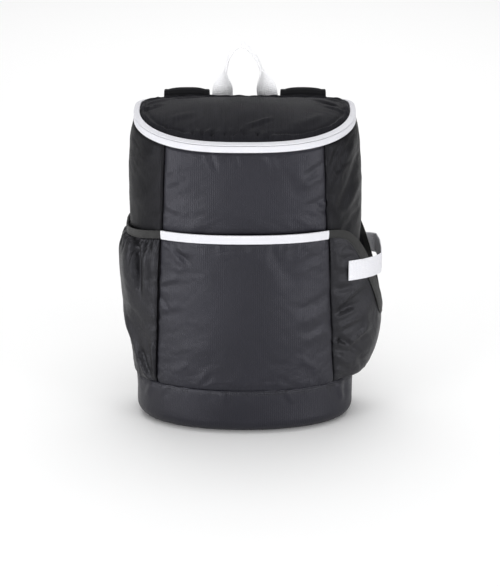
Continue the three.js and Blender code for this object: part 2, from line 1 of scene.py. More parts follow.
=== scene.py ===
import bpy
import bmesh
import json
import math
import numpy as np
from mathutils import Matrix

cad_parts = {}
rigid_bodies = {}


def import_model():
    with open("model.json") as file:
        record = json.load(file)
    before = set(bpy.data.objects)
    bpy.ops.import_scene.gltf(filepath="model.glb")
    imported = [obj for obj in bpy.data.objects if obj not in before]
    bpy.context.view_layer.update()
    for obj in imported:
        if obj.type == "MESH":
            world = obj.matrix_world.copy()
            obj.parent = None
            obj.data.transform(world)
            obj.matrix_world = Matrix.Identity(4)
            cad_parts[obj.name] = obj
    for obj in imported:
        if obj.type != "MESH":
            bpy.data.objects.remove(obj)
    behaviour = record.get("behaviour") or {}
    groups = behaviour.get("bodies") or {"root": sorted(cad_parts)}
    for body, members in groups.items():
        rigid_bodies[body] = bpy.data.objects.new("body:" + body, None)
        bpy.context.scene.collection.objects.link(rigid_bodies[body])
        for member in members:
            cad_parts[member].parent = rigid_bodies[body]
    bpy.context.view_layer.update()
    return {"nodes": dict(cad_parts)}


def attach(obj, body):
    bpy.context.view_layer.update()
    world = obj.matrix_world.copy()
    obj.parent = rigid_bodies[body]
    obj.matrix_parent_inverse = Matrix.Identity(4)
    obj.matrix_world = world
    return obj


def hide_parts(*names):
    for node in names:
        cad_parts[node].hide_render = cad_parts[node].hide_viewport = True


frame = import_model()
mm = 0.001  # everything below is worked out in millimetres and scaled when its mesh is made

view = {"elevation": 19, "distance": 2500, "focalPixels": 1958.5, "imageWidth": 500, "sensor": 36,
        "aimX": 6.4, "aimZ": 160}


def addCamera():
    data = bpy.data.cameras.new("camera")
    data.sensor_fit = "HORIZONTAL"
    data.sensor_width = view["sensor"]
    data.lens = view["focalPixels"] / view["imageWidth"] * view["sensor"]
    camera = bpy.data.objects.new("camera", data)
    tilt = math.radians(view["elevation"])
    away = view["distance"] * mm
    camera.location = (view["aimX"] * mm, -away * math.cos(tilt), view["aimZ"] * mm + away * math.sin(tilt))
    camera.rotation_euler = (math.pi / 2 - tilt, 0, 0)
    bpy.context.scene.collection.objects.link(camera)
    bpy.context.scene.camera = camera


addCamera()
print("camera placed")

# Sizes of the bag that its pieces share, in millimetres
bag = {
    "halfWidth": 143.5, "frontDepth": 85, "backDepth": 65, "backRoundness": 5,
    "rimFront": 366, "rimRise": 25, "rimRoundness": 2.4, "rimClimb": 1.15,
    "baseSeam": 59, "baseRadius": 17, "wall": 6, "backPad": 8, "gap": 0.3,
    "frontSeamTop": 98, "frontSeamBase": 112, "backSeam": 118, "pocketTop": 264,
    "webbing": 26,
}
bag["rimBack"] = bag["rimFront"] + bag["rimRise"]

# height as a share of the rim, half width, depth, roundness of the front curve
bodySections = [
    (0.0, 0.965, 0.98, 2.1),
    (0.16, 0.972, 0.99, 2.1),
    (0.5, 0.988, 1.0, 2.15),
    (0.8, 1.0, 1.0, 2.4),
    (0.94, 0.985, 0.99, 2.6),
    (1.0, 0.962, 0.975, 2.7),
    (1.08, 0.95, 0.965, 2.75),
]


def mix(low, high, share):
    return low + (high - low) * share


def smoothStep(value, low, high):
    share = np.clip((value - low) / (high - low), 0, 1)
    return share * share * (3 - 2 * share)


# A value between the rows of a table, on a smooth curve that never overshoots
def alongTable(table, column, at):
    keys = np.array([row[0] for row in table], float)
    values = np.array([row[column] for row in table], float)
    steps = np.diff(values) / np.diff(keys)
    product = steps[1:] * steps[:-1]
    total = np.where(product > 0, steps[1:] + steps[:-1], 1)
    slopes = np.concatenate([steps[:1], np.where(product > 0, 2 * product / total, 0), steps[-1:]])
    at = np.clip(at, keys[0], keys[-1])
    i = np.clip(np.searchsorted(keys, at, side="right") - 1, 0, len(keys) - 2)
    span = keys[i + 1] - keys[i]
    t = (at - keys[i]) / span
    low = (1 + 2 * t) * (1 - t) ** 2 * values[i] + t * (1 - t) ** 2 * span * slopes[i]
    return low + t * t * (3 - 2 * t) * values[i + 1] + t * t * (t - 1) * span * slopes[i + 1]


def signedPower(value, power):
    return np.sign(value) * np.abs(value) ** power


# turn 0 is the middle of the front and a quarter turn the right side
def planPoint(turn, halfWidth, front, back, roundness):
    facesFront = np.cos(turn) > 0
    power = 2 / np.where(facesFront, roundness, bag["backRoundness"])
    depth = np.where(facesFront, front, back)
    return halfWidth * signedPower(np.sin(turn), power), -depth * signedPower(np.cos(turn), power)


def rimHeight(turn):
    y = planPoint(turn, bag["halfWidth"], bag["frontDepth"], bag["backDepth"], bag["rimRoundness"])[1]
    share = np.minimum(1, (y + bag["frontDepth"]) / (bag["frontDepth"] * bag["rimClimb"]))
    return bag["rimFront"] + bag["rimRise"] * np.sin(math.pi / 2 * share)


def bodyPoint(turn, z, out=0):
    at = z / rimHeight(turn)
    depth = alongTable(bodySections, 2, at)
    halfWidth = bag["halfWidth"] * alongTable(bodySections, 1, at) + out
    front = bag["frontDepth"] * depth + out
    back = bag["backDepth"] * depth + out
    x, y = planPoint(turn, halfWidth, front, back, alongTable(bodySections, 3, at))
    return np.stack(np.broadcast_arrays(x, y, z), axis=-1)


def turnAtX(x, z, onBack=False):
    turn = np.full(np.broadcast(x, z).shape, math.pi * (0.8 if onBack else 0.3))
    for step in range(5):
        at = z / rimHeight(turn)
        halfWidth = bag["halfWidth"] * alongTable(bodySections, 1, at)
        roundness = bag["backRoundness"] if onBack else alongTable(bodySections, 3, at)
        angle = np.arcsin(np.minimum(1, x / halfWidth) ** (roundness / 2))
        turn = math.pi - angle if onBack else angle
    return turn


def frontSeam(z):
    share = (z - bag["baseSeam"]) / (bag["rimFront"] - bag["baseSeam"])
    return turnAtX(mix(bag["frontSeamBase"], bag["frontSeamTop"], share), z)


def backSeam(z):
    return turnAtX(bag["backSeam"], z, True)


def backFace(x, z):
    return float(bodyPoint(turnAtX(x, np.array(float(z)), True), np.array(float(z)))[1])


# A panel's edges: left and right as turns by height, bottom and top as heights by turn
frontEdges = {"left": lambda z: -frontSeam(z), "right": lambda z: frontSeam(z)}
rightEdges = {"left": lambda z: frontSeam(z), "right": lambda z: backSeam(z)}
leftEdges = {"left": lambda z: -backSeam(z), "right": lambda z: -frontSeam(z)}
backEdges = {"left": lambda z: backSeam(z), "right": lambda z: 2 * math.pi - backSeam(z)}


def level(height):
    return lambda turn: np.full(np.shape(turn), float(height))


def placeOn(panel, across, up):
    across, up = np.broadcast_arrays(across, up)
    z = np.full(across.shape, float(bag["pocketTop"]))
    for step in range(5):
        turn = mix(panel["left"](z), panel["right"](z), across)
        z = mix(panel["bottom"](turn), panel["top"](turn), up)
    return turn, z


# Shares from 0 to 1 that lie closer together towards both ends
def crowdedShares(count, crowding=0.6):
    t = np.linspace(0, 1, count + 1)
    return t - crowding * np.sin(2 * math.pi * t) / (2 * math.pi)


def runLength(line):
    steps = np.linalg.norm(np.diff(line, axis=0), axis=1)
    return np.concatenate([[0], np.cumsum(steps)])


# The turns and heights of a panel's grid, even in real length from side to side
def panelGrid(panel, columns, rows):
    fine = np.linspace(0, 1, 1201)
    turn, z = placeOn(panel, fine, 0.5)
    length = runLength(bodyPoint(turn, z))
    across = np.interp(crowdedShares(columns) * length[-1], length, fine)
    turn, z = placeOn(panel, across[None, :], crowdedShares(rows)[:, None])
    return np.broadcast_to(across[None, :], turn.shape), turn, z


def normalsOf(points, wraps=False):
    if wraps:
        across = np.roll(points, -1, axis=1) - np.roll(points, 1, axis=1)
    else:
        across = np.gradient(points, axis=1)
    outward = np.cross(across, np.gradient(points, axis=0))
    return outward / np.maximum(np.linalg.norm(outward, axis=-1, keepdims=True), 1e-9)


# How far each point of a grid lies from the grid's four edges, along the surface
def edgeDistances(points):
    s = np.zeros(points.shape[:2])
    h = np.zeros(points.shape[:2])
    s[:, 1:] = np.cumsum(np.linalg.norm(np.diff(points, axis=1), axis=2), axis=1)
    h[1:] = np.cumsum(np.linalg.norm(np.diff(points, axis=0), axis=2), axis=0)
    return {"left": s, "right": s[:, -1:] - s, "bottom": h, "top": h[-1:] - h}


def nearestEdge(edges):
    sides = np.minimum(edges["left"], edges["right"])
    return np.minimum(sides, np.minimum(edges["bottom"], edges["top"]))


def softNoise(a, b, seed):
    lattice = np.random.default_rng(seed).uniform(-1, 1, (64, 64))
    a, b = np.broadcast_arrays(np.asarray(a, float), np.asarray(b, float))
    i, j = np.floor(a).astype(int), np.floor(b).astype(int)
    u, v = smoothStep(a - i, 0, 1), smoothStep(b - j, 0, 1)
    low = mix(lattice[i % 64, j % 64], lattice[(i + 1) % 64, j % 64], u)
    high = mix(lattice[i % 64, (j + 1) % 64], lattice[(i + 1) % 64, (j + 1) % 64], u)
    return mix(low, high, v)


# Cloth that rolls down into a seam
def seamRoll(distance, depth, width):
    return -depth * np.exp(-(distance / width) ** 2)


# The narrow dark valley between two pieces that are sewn together
def crevice(distance, depth=2.8, width=1.0):
    return -depth * np.exp(-distance / width) - 0.9 * np.exp(-(distance / 4) ** 2)


# Short ridges that stand square to a seam and fade away from it
def puckers(along, distance, depth, pitch, reach, seed):
    ridges = 0.4 - np.abs(softNoise(along / pitch, distance / (reach * 3), seed)) * 1.6
    return depth * ridges * np.exp(-distance / reach) * (1 - np.exp(-distance / 1.2))


# Folds along straight lines, each with a smaller one of the other sign beside it
def folds(table, a, b):
    total = np.zeros(np.broadcast(a, b).shape)
    for a0, b0, a1, b1, height, width in table:
        length = math.hypot(a1 - a0, b1 - b0)
        along = ((a - a0) * (a1 - a0) + (b - b0) * (b1 - b0)) / length ** 2
        off = ((a - a0) * (b1 - b0) - (b - b0) * (a1 - a0)) / length
        taper = smoothStep(along, -0.15, 0.25) * (1 - smoothStep(along, 0.6, 1.15))
        line = np.exp(-(off / width) ** 2) - 0.45 * np.exp(-((off - 1.7 * width) / width) ** 2)
        total = total + height * line * taper
    return total


def gridFaces(rows, columns, stride, wraps, start=0):
    i, j = np.meshgrid(np.arange(columns), np.arange(rows))
    right = (i + 1) % stride if wraps else i + 1
    corners = [j * stride + i, j * stride + right, (j + 1) * stride + right, (j + 1) * stride + i]
    return np.stack([c.ravel() + start for c in corners], axis=1)


def makeObject(name, points, faces, corners, marks, material):
    mesh = bpy.data.meshes.new(name)
    counts = np.array([len(face) for face in faces]) if isinstance(faces, list) else np.full(len(faces), 4)
    flat = np.concatenate([np.asarray(face) for face in faces]) if isinstance(faces, list) else faces.ravel()
    mesh.vertices.add(len(points))
    mesh.vertices.foreach_set("co", (np.asarray(points, float) * mm).astype(np.float32).ravel())
    mesh.loops.add(len(flat))
    mesh.loops.foreach_set("vertex_index", flat.astype(np.int32))
    mesh.polygons.add(len(counts))
    mesh.polygons.foreach_set("loop_start", (np.cumsum(counts) - counts).astype(np.int32))
    layer = mesh.uv_layers.new(name="weave")
    layer.uv.foreach_set("vector", (np.asarray(corners, float) * mm).astype(np.float32).ravel())
    for mark, values in marks.items():
        attribute = mesh.attributes.new(mark, "FLOAT", "POINT")
        attribute.data.foreach_set("value", np.asarray(values, np.float32).ravel())
    mesh.update(calc_edges=True)
    mesh.validate()
    mesh.shade_smooth()
    mesh.set_sharp_from_angle(angle=math.radians(55))
    mesh.materials.append(material)
    made = bpy.data.objects.new(name, mesh)
    bpy.context.scene.collection.objects.link(made)
    return made


# Turns every face outwards, and joins points that lie on one spot where weld is asked for
def faceOutwards(made, weld=False):
    work = bmesh.new()
    work.from_mesh(made.data)
    if weld:
        bmesh.ops.remove_doubles(work, verts=work.verts, dist=1e-6)
    bmesh.ops.recalc_face_normals(work, faces=work.faces)
    work.to_mesh(made.data)
    work.free()
    return made


# A closed wall of cloth between an outer and an inner grid. weave is (side, up) in millimetres. Its inner
# faces, and any seam strips passed in, are marked to take a painted shade colour.
def makeWall(name, outer, inner, weave, paintedSeamLight, material, wraps=False, paintedSeamShade=None):
    rows, stride = outer.shape[:2]
    columns = stride if wraps else stride - 1
    count = rows * stride
    flip = [0, 3, 2, 1]
    faces = [gridFaces(rows - 1, columns, stride, wraps)]
    places = [gridFaces(rows - 1, columns, weave.shape[1], False)]
    faces.append((faces[0] + count)[:, flip])
    places.append(places[0][:, flip])
    i = np.arange(columns)
    for row, turned in ((0, False), (rows - 1, True)):
        a, b = row * stride + i, row * stride + (i + 1) % stride
        ring = np.stack([a + count, b + count, b, a], axis=1)
        place = row * weave.shape[1] + i
        spot = np.stack([place, place + 1, place + 1, place], axis=1)
        faces.append(ring[:, ::-1] if turned else ring)
        places.append(spot[:, ::-1] if turned else spot)
    if not wraps:
        j = np.arange(rows - 1)
        for column, turned in ((0, True), (stride - 1, False)):
            a, b = j * stride + column, (j + 1) * stride + column
            side = np.stack([a + count, b + count, b, a], axis=1)
            faces.append(side if turned else side[:, ::-1])
            places.append((side if turned else side[:, ::-1]) % count)
    faces = np.concatenate(faces)
    corners = weave.reshape(-1, 2)[np.concatenate(places).ravel()]
    points = np.concatenate([outer.reshape(-1, 3), inner.reshape(-1, 3)])
    # painted shade mark: 1 on the inner faces, and on the outer faces where seam strips are passed in
    paintedShade = np.concatenate([np.zeros(count) if paintedSeamShade is None else paintedSeamShade.ravel(), np.ones(count)])
    marks = {"paintedSeamLight": np.tile(paintedSeamLight.ravel(), 2), "paintedShade": paintedShade}
    return makeObject(name, points, faces, corners, marks, material)


# A band with a closed section, (wide, thick) in millimetres, carried along a line
def makeBand(name, centres, wide, thick, section, material, paintedSeamLight=None):
    count = len(centres)
    section = np.broadcast_to(section, (count,) + np.shape(section)[-2:])
    stride = section.shape[1]
    points = centres[:, None] + section[..., :1] * wide[:, None] + section[..., 1:] * thick[:, None]
    loop = np.concatenate([section[count // 2], section[count // 2][:1]])
    around = runLength(loop)
    along = runLength(centres)
    weave = np.stack(np.broadcast_arrays(along[:, None], around[None, :]), axis=-1)
    faces = gridFaces(count - 1, stride, stride, True)
    places = gridFaces(count - 1, stride, stride + 1, False)
    corners = weave.reshape(-1, 2)[places.ravel()]
    caps = [np.arange(stride)[::-1], np.arange(stride) + (count - 1) * stride]
    ends = [section[0][::-1], section[-1]]
    marks = {"paintedSeamLight": np.zeros(count * stride) if paintedSeamLight is None else np.tile(paintedSeamLight, count),
             "paintedShade": np.zeros(count * stride)}
    return faceOutwards(makeObject(name, points.reshape(-1, 3), [*faces, *caps],
                                   np.concatenate([corners, *ends]), marks, material))


# The section of a tape or webbing: flat with round edges, and grooves and ribs on both faces
def tapeSection(width, thickness, grooves=(), ribs=0, ribDepth=0.0, points=22):
    x = -np.cos(np.linspace(0, math.pi, points + 1)) * 0.35 + np.linspace(-0.65, 0.65, points + 1)
    half = thickness / 2 * (1 - np.abs(x) ** 6) ** 0.45
    for place, depth in grooves:
        for side in (-1, 1):
            half = half - depth * np.exp(-((x * width / 2 - side * place) / 0.7) ** 2)
    if ribs:
        half = half - ribDepth * (0.5 + 0.5 * np.cos(math.pi * (x + 1) * ribs)) * (1 - np.abs(x) ** 8)
    half = np.maximum(half, 0.02)
    top = np.stack([x * width / 2, half], axis=1)
    bottom = np.stack([x[::-1] * width / 2, -half[::-1]], axis=1)
    return np.concatenate([top, bottom[1:-1]])[::-1]


# Stitches are collected as runs and made as one mesh
def stitchRun(line, normals, pitch=3.4, length=2.4, lift=0.15):
    run = runLength(line)
    at = np.arange(pitch / 2, run[-1], pitch)
    pick = lambda values, where: np.stack([np.interp(where, run, values[:, k]) for k in range(3)], axis=1)
    middle = pick(line, at)
    along = pick(line, at + 0.4) - pick(line, at - 0.4)
    along = along / np.linalg.norm(along, axis=1, keepdims=True)
    up = pick(normals, at)
    up = up - along * (up * along).sum(1, keepdims=True)
    up = up / np.linalg.norm(up, axis=1, keepdims=True)
    return {"middle": middle + up * lift, "along": along, "up": up, "length": length}


def makeStitches(name, runs, thickness, material):
    rings = [(-0.5, 0.25, -0.5), (-0.42, 0.8, -0.15), (0.0, 1.0, 0.1), (0.42, 0.8, -0.15), (0.5, 0.25, -0.5)]
    sides = 6
    angle = np.arange(sides) * 2 * math.pi / sides
    faces, points = [], []
    for run in runs:
        count = len(run["middle"])
        across = np.cross(run["up"], run["along"])
        shape = []
        for place, swell, height in rings:
            centre = run["middle"] + run["along"] * place * run["length"] + run["up"] * height * thickness
            circle = (across[:, None] * np.cos(angle)[None, :, None]
                      + run["up"][:, None] * np.sin(angle)[None, :, None])
            shape.append(centre[:, None] + circle * swell * thickness / 2)
        shape = np.stack(shape, axis=1)
        single = gridFaces(len(rings) - 1, sides, sides, True)
        start = sum(len(p) for p in points)
        offsets = start + np.arange(count) * len(rings) * sides
        faces.extend((single[None] + offsets[:, None, None]).reshape(-1, 4))
        for offset in offsets:
            faces.append(np.arange(sides)[::-1] + offset)
            faces.append(np.arange(sides) + offset + (len(rings) - 1) * sides)
        points.append(shape.reshape(-1, 3))
    points = np.concatenate(points)
    total = sum(len(face) for face in faces)
    marks = {"paintedSeamLight": np.zeros(len(points)), "paintedShade": np.zeros(len(points))}
    return faceOutwards(makeObject(name, points, faces, np.zeros((total, 2)), marks, material))


# Materials

def node(tree, kind, values=None, **settings):
    made = tree.nodes.new(kind)
    for key, value in settings.items():
        setattr(made, key, value)
    for key, value in (values or {}).items():
        if isinstance(value, bpy.types.NodeSocket):
            tree.links.new(value, made.inputs[key])
        else:
            made.inputs[key].default_value = value
    return made


def maths(tree, operation, a, b=0.0, c=0.0):
    return node(tree, "ShaderNodeMath", {0: a, 1: b, 2: c}, operation=operation).outputs[0]


def mixColours(tree, share, a, b):
    made = node(tree, "ShaderNodeMix", data_type="RGBA")
    for key, value in ((0, share), (6, a), (7, b)):
        if isinstance(value, bpy.types.NodeSocket):
            tree.links.new(value, made.inputs[key])
        else:
            made.inputs[key].default_value = value
    return made.outputs[2]


def noise(tree, place, scale, detail):
    values = {"Vector": place, "Scale": scale, "Detail": detail}
    return node(tree, "ShaderNodeTexNoise", values).outputs["Fac"]


def centred(tree, value):
    return maths(tree, "SUBTRACT", value, 0.5)


def addBump(tree, shader, height, distance, strength):
    values = {"Height": height, "Distance": distance * mm, "Strength": strength}
    tree.links.new(node(tree, "ShaderNodeBump", values).outputs[0], shader.inputs["Normal"])


def startMaterial(name):
    material = bpy.data.materials.new(name)
    material.use_nodes = True
    return material, material.node_tree, material.node_tree.nodes["Principled BSDF"]


def shade(colour, factor):
    return tuple(c * factor for c in colour) + (1,)


cloths = {
    # colour, rib pitch and weave pitch in mm, strengths of ribs, weave, streaks and patches
    "shell": {"colour": (0.0060, 0.0058, 0.0092), "rib": 2.6, "ribDepth": 0.10, "weave": 0.6,
              "weaveDepth": 0.06, "streaks": 0.15, "patches": 0.3, "roughness": 0.43,
              "sheen": 0.0, "gloss": 0.4},
    "shellTop": {"colour": (0.0072, 0.0071, 0.0088), "rib": 2.6, "ribDepth": 0.3, "weave": 0.6,
                 "weaveDepth": 0.06, "streaks": 0.9, "patches": 0.2, "roughness": 0.6,
                 "sheen": 0.02, "gloss": 0.12},
    "side": {"colour": (0.0070, 0.0069, 0.0078), "rib": 2.6, "ribDepth": 0.12, "weave": 0.6,
             "weaveDepth": 0.06, "streaks": 0.25, "patches": 0.3, "roughness": 0.42,
             "sheen": 0.0, "gloss": 0.31},
    # the side panels' copy of the shell cloth, darker and less glossy: painted shade for the sides that turn
    # away from the lamps
    "sidePanelPaintedShade": {"colour": (0.0055, 0.0054, 0.0060), "rib": 2.6, "ribDepth": 0.12, "weave": 0.6,
                  "weaveDepth": 0.06, "streaks": 0.25, "patches": 0.3, "roughness": 0.45,
                  "sheen": 0.0, "gloss": 0.16},
    "padding": {"colour": (0.006, 0.006, 0.0066), "rib": 3.2, "ribDepth": 0.35, "weave": 1.6,
                "weaveDepth": 0.3, "streaks": 0.1, "patches": 0.15, "roughness": 0.8,
                "sheen": 0.02, "gloss": 0.12},
}
paintedShadeColour = (0.0025, 0.0025, 0.003, 1)  # painted shade: the colour of the inner face of a wall and of the strips by the side seams, darker than the cloth itself


def makeCloth(name):
    look = cloths[name]
    material, tree, shader = startMaterial(name)
    weave = node(tree, "ShaderNodeUVMap", uv_map="weave").outputs[0]
    place = node(tree, "ShaderNodeSeparateXYZ", {0: weave})
    side, up = place.outputs[0], place.outputs[1]
    turn = 2 * math.pi / mm
    rib = maths(tree, "SINE", maths(tree, "MULTIPLY", side, turn / look["rib"]))
    warp = maths(tree, "SINE", maths(tree, "MULTIPLY", side, turn / look["weave"]))
    weft = maths(tree, "SINE", maths(tree, "MULTIPLY", up, turn / look["weave"]))
    thread = maths(tree, "MULTIPLY", warp, weft)
    body = node(tree, "ShaderNodeTexCoord").outputs["Object"]
    patches = noise(tree, body, 11.0, 3.0)
    stretched = node(tree, "ShaderNodeMapping", {"Vector": weave, "Scale": (330, 22, 1)}).outputs[0]
    streaks = noise(tree, stretched, 1.0, 2.0)
    grain = noise(tree, body, 900.0, 2.0)
    paintedSeamLight = node(tree, "ShaderNodeAttribute", attribute_name="paintedSeamLight").outputs["Fac"]
    paintedShade = node(tree, "ShaderNodeAttribute", attribute_name="paintedShade").outputs["Fac"]
    light = maths(tree, "MULTIPLY_ADD", centred(tree, patches), look["patches"] * 3, 0.5)
    light = maths(tree, "MULTIPLY_ADD", centred(tree, streaks), look["streaks"] * 2, light)
    light = maths(tree, "MULTIPLY_ADD", centred(tree, grain), 0.25, light)
    # painted highlight and painted shade along the seams, from the mark made with each piece
    light = maths(tree, "MULTIPLY_ADD", paintedSeamLight, 0.25, light)
    colour = mixColours(tree, light, shade(look["colour"], 0.62), shade(look["colour"], 1.38))
    # painted shade: inner faces and seam strips take the dark painted shade colour
    colour = mixColours(tree, paintedShade, colour, paintedShadeColour)
    tree.links.new(colour, shader.inputs["Base Color"])
    rough = maths(tree, "MULTIPLY_ADD", centred(tree, patches), 0.3, look["roughness"])
    tree.links.new(rough, shader.inputs["Roughness"])
    height = maths(tree, "MULTIPLY", rib, look["ribDepth"])
    height = maths(tree, "MULTIPLY_ADD", thread, look["weaveDepth"], height)
    height = maths(tree, "MULTIPLY_ADD", grain, 0.12, height)
    addBump(tree, shader, height, 1.0, 0.45)
    shader.inputs["Specular IOR Level"].default_value = look["gloss"]
    shader.inputs["Specular Tint"].default_value = (0.9, 0.9, 1, 1)
    shader.inputs["Sheen Weight"].default_value = look["sheen"]
    shader.inputs["Sheen Roughness"].default_value = 0.45
    shader.inputs["Sheen Tint"].default_value = (0.75, 0.75, 0.85, 1)
    return material


tapes = {
    # colour, second colour of the weave, pitch along and across in mm, depth
    "whiteTape": {"colour": (0.66, 0.66, 0.685), "dark": (0.54, 0.54, 0.59), "along": 1.1, "across": 0.9,
                  "depth": 0.10, "slant": 0.0, "roughness": 0.7},
    # one white webbing in two copies: the handle's is made brighter as painted light, the pocket strap's
    # darker as painted shade
    "handleWebbingPaintedLight": {"colour": (0.99, 0.99, 1.0), "dark": (0.86, 0.86, 0.9), "along": 2.2, "across": 1.9,
                     "depth": 0.28, "slant": 0.8, "roughness": 0.68},
    "strapWebbingPaintedShade": {"colour": (0.76, 0.76, 0.785), "dark": (0.61, 0.61, 0.66), "along": 2.2, "across": 1.9,
                     "depth": 0.25, "slant": 0.8, "roughness": 0.7},
    "binding": {"colour": (0.020, 0.020, 0.0198), "dark": (0.008, 0.008, 0.0079), "along": 0.9, "across": 40,
                "depth": 0.22, "slant": 0.0, "roughness": 0.72},
    "blackWebbing": {"colour": (0.012, 0.012, 0.0135), "dark": (0.006, 0.006, 0.007), "along": 2.2,
                     "across": 1.9, "depth": 0.3, "slant": 0.8, "roughness": 0.6},
}


def makeTape(name):
    look = tapes[name]
    material, tree, shader = startMaterial(name)
    weave = node(tree, "ShaderNodeUVMap", uv_map="weave").outputs[0]
    place = node(tree, "ShaderNodeSeparateXYZ", {0: weave})
    turn = 2 * math.pi / mm
    along = maths(tree, "MULTIPLY", place.outputs[0], turn / look["along"])
    across = maths(tree, "MULTIPLY", place.outputs[1], turn / look["across"])
    slanting = maths(tree, "ABSOLUTE", maths(tree, "SINE", across))
    leaning = maths(tree, "MULTIPLY", slanting, look["slant"] * 2)
    rows = maths(tree, "SINE", maths(tree, "ADD", along, leaning))
    cords = maths(tree, "COSINE", across)
    thread = maths(tree, "MULTIPLY_ADD", cords, 0.5, rows)
    body = node(tree, "ShaderNodeTexCoord").outputs["Object"]
    patches = noise(tree, body, 30.0, 3.0)
    grain = noise(tree, body, 1300.0, 1.0)
    light = maths(tree, "MULTIPLY_ADD", thread, 0.2, 0.62)
    light = maths(tree, "MULTIPLY_ADD", centred(tree, patches), 0.5, light)
    light = maths(tree, "MULTIPLY_ADD", centred(tree, grain), 0.4, light)
    colour = mixColours(tree, light, shade(look["dark"], 1), shade(look["colour"], 1))
    tree.links.new(colour, shader.inputs["Base Color"])
    rough = maths(tree, "MULTIPLY_ADD", grain, 0.2, look["roughness"] - 0.1)
    tree.links.new(rough, shader.inputs["Roughness"])
    height = maths(tree, "MULTIPLY_ADD", grain, 0.3, thread)
    addBump(tree, shader, height, look["depth"], 0.6)
    shader.inputs["Specular IOR Level"].default_value = 0.3
    shader.inputs["Sheen Weight"].default_value = 0.15
    return material


plastics = {"blackPlastic": {"colour": (0.013, 0.013, 0.014), "roughness": 0.42},
            "whitePlastic": {"colour": (0.74, 0.74, 0.77), "roughness": 0.4},
            "blackThread": {"colour": (0.011, 0.011, 0.012), "roughness": 0.6},
            "whiteThread": {"colour": (0.74, 0.74, 0.77), "roughness": 0.6}}


def makePlastic(name):
    look = plastics[name]
    material, tree, shader = startMaterial(name)
    body = node(tree, "ShaderNodeTexCoord").outputs["Object"]
    grain = noise(tree, body, 700.0, 2.0)
    colour = mixColours(tree, grain, shade(look["colour"], 0.85), shade(look["colour"], 1.12))
    tree.links.new(colour, shader.inputs["Base Color"])
    rough = maths(tree, "MULTIPLY_ADD", grain, 0.16, look["roughness"] - 0.08)
    tree.links.new(rough, shader.inputs["Roughness"])
    addBump(tree, shader, grain, 0.1, 0.3)
    return material


materials = {name: makeCloth(name) for name in cloths}
materials.update({name: makeTape(name) for name in tapes})
materials.update({name: makePlastic(name) for name in plastics})
print("materials made")


def seat(made, slot, *nodes):
    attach(made, "root")
    if nodes:
        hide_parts(*nodes)
    return made


# A panel of cloth: its grid, its place on the body, what stands out from it, and its finish.
# detail(grid) gives millimetres outwards at each point.
panels = {}


def addPanel(name, panel, columns, rows, stand, thickness, detail, finish):
    across, turn, z = panelGrid(panel, columns, rows)
    points = bodyPoint(turn, z, stand(across, z))
    panels[name] = {"across": across, "turn": turn, "points": points, "thickness": thickness,
                    "detail": detail, "finish": finish}


cloth = {
    "frames": 24, "step": 2, "mass": 0.06, "stretch": 30, "bending": 0.08, "pressure": 1.2,
    # panel: how much longer the cloth is than its place near the seams and in its middle, how far
    # from the seams that reaches, and how far a point may move, in millimetres
    "panels": {
        "front_panel_upper_cloth": (0.016, 0.001, 16, 1.8),
        "front_pocket_cloth": (0.014, 0.001, 16, 1.6),
        "side_panel_left_cloth": (0.012, 0.001, 18, 1.5),
        "side_panel_right_cloth": (0.035, 0.006, 26, 4.0),
        "left_pocket_cloth": (0.016, 0.004, 30, 2.2),
        "right_pocket_cloth": (0.035, 0.008, 34, 4.0),
    },
}


def coarse(count):
    return np.unique(np.concatenate([np.arange(0, count, cloth["step"]), [count - 1]]))


# Values known at some rows and columns of a grid, spread evenly to all of them
def spread(values, rows, columns, shape):
    across = np.empty((len(rows), shape[1], 3))
    for k in range(3):
        across[..., k] = [np.interp(np.arange(shape[1]), columns, row) for row in values[..., k]]
    full = np.empty(shape + (3,))
    for k in range(3):
        lines = [np.interp(np.arange(shape[0]), rows, line) for line in across[..., k].T]
        full[..., k] = np.stack(lines, axis=1)
    return full


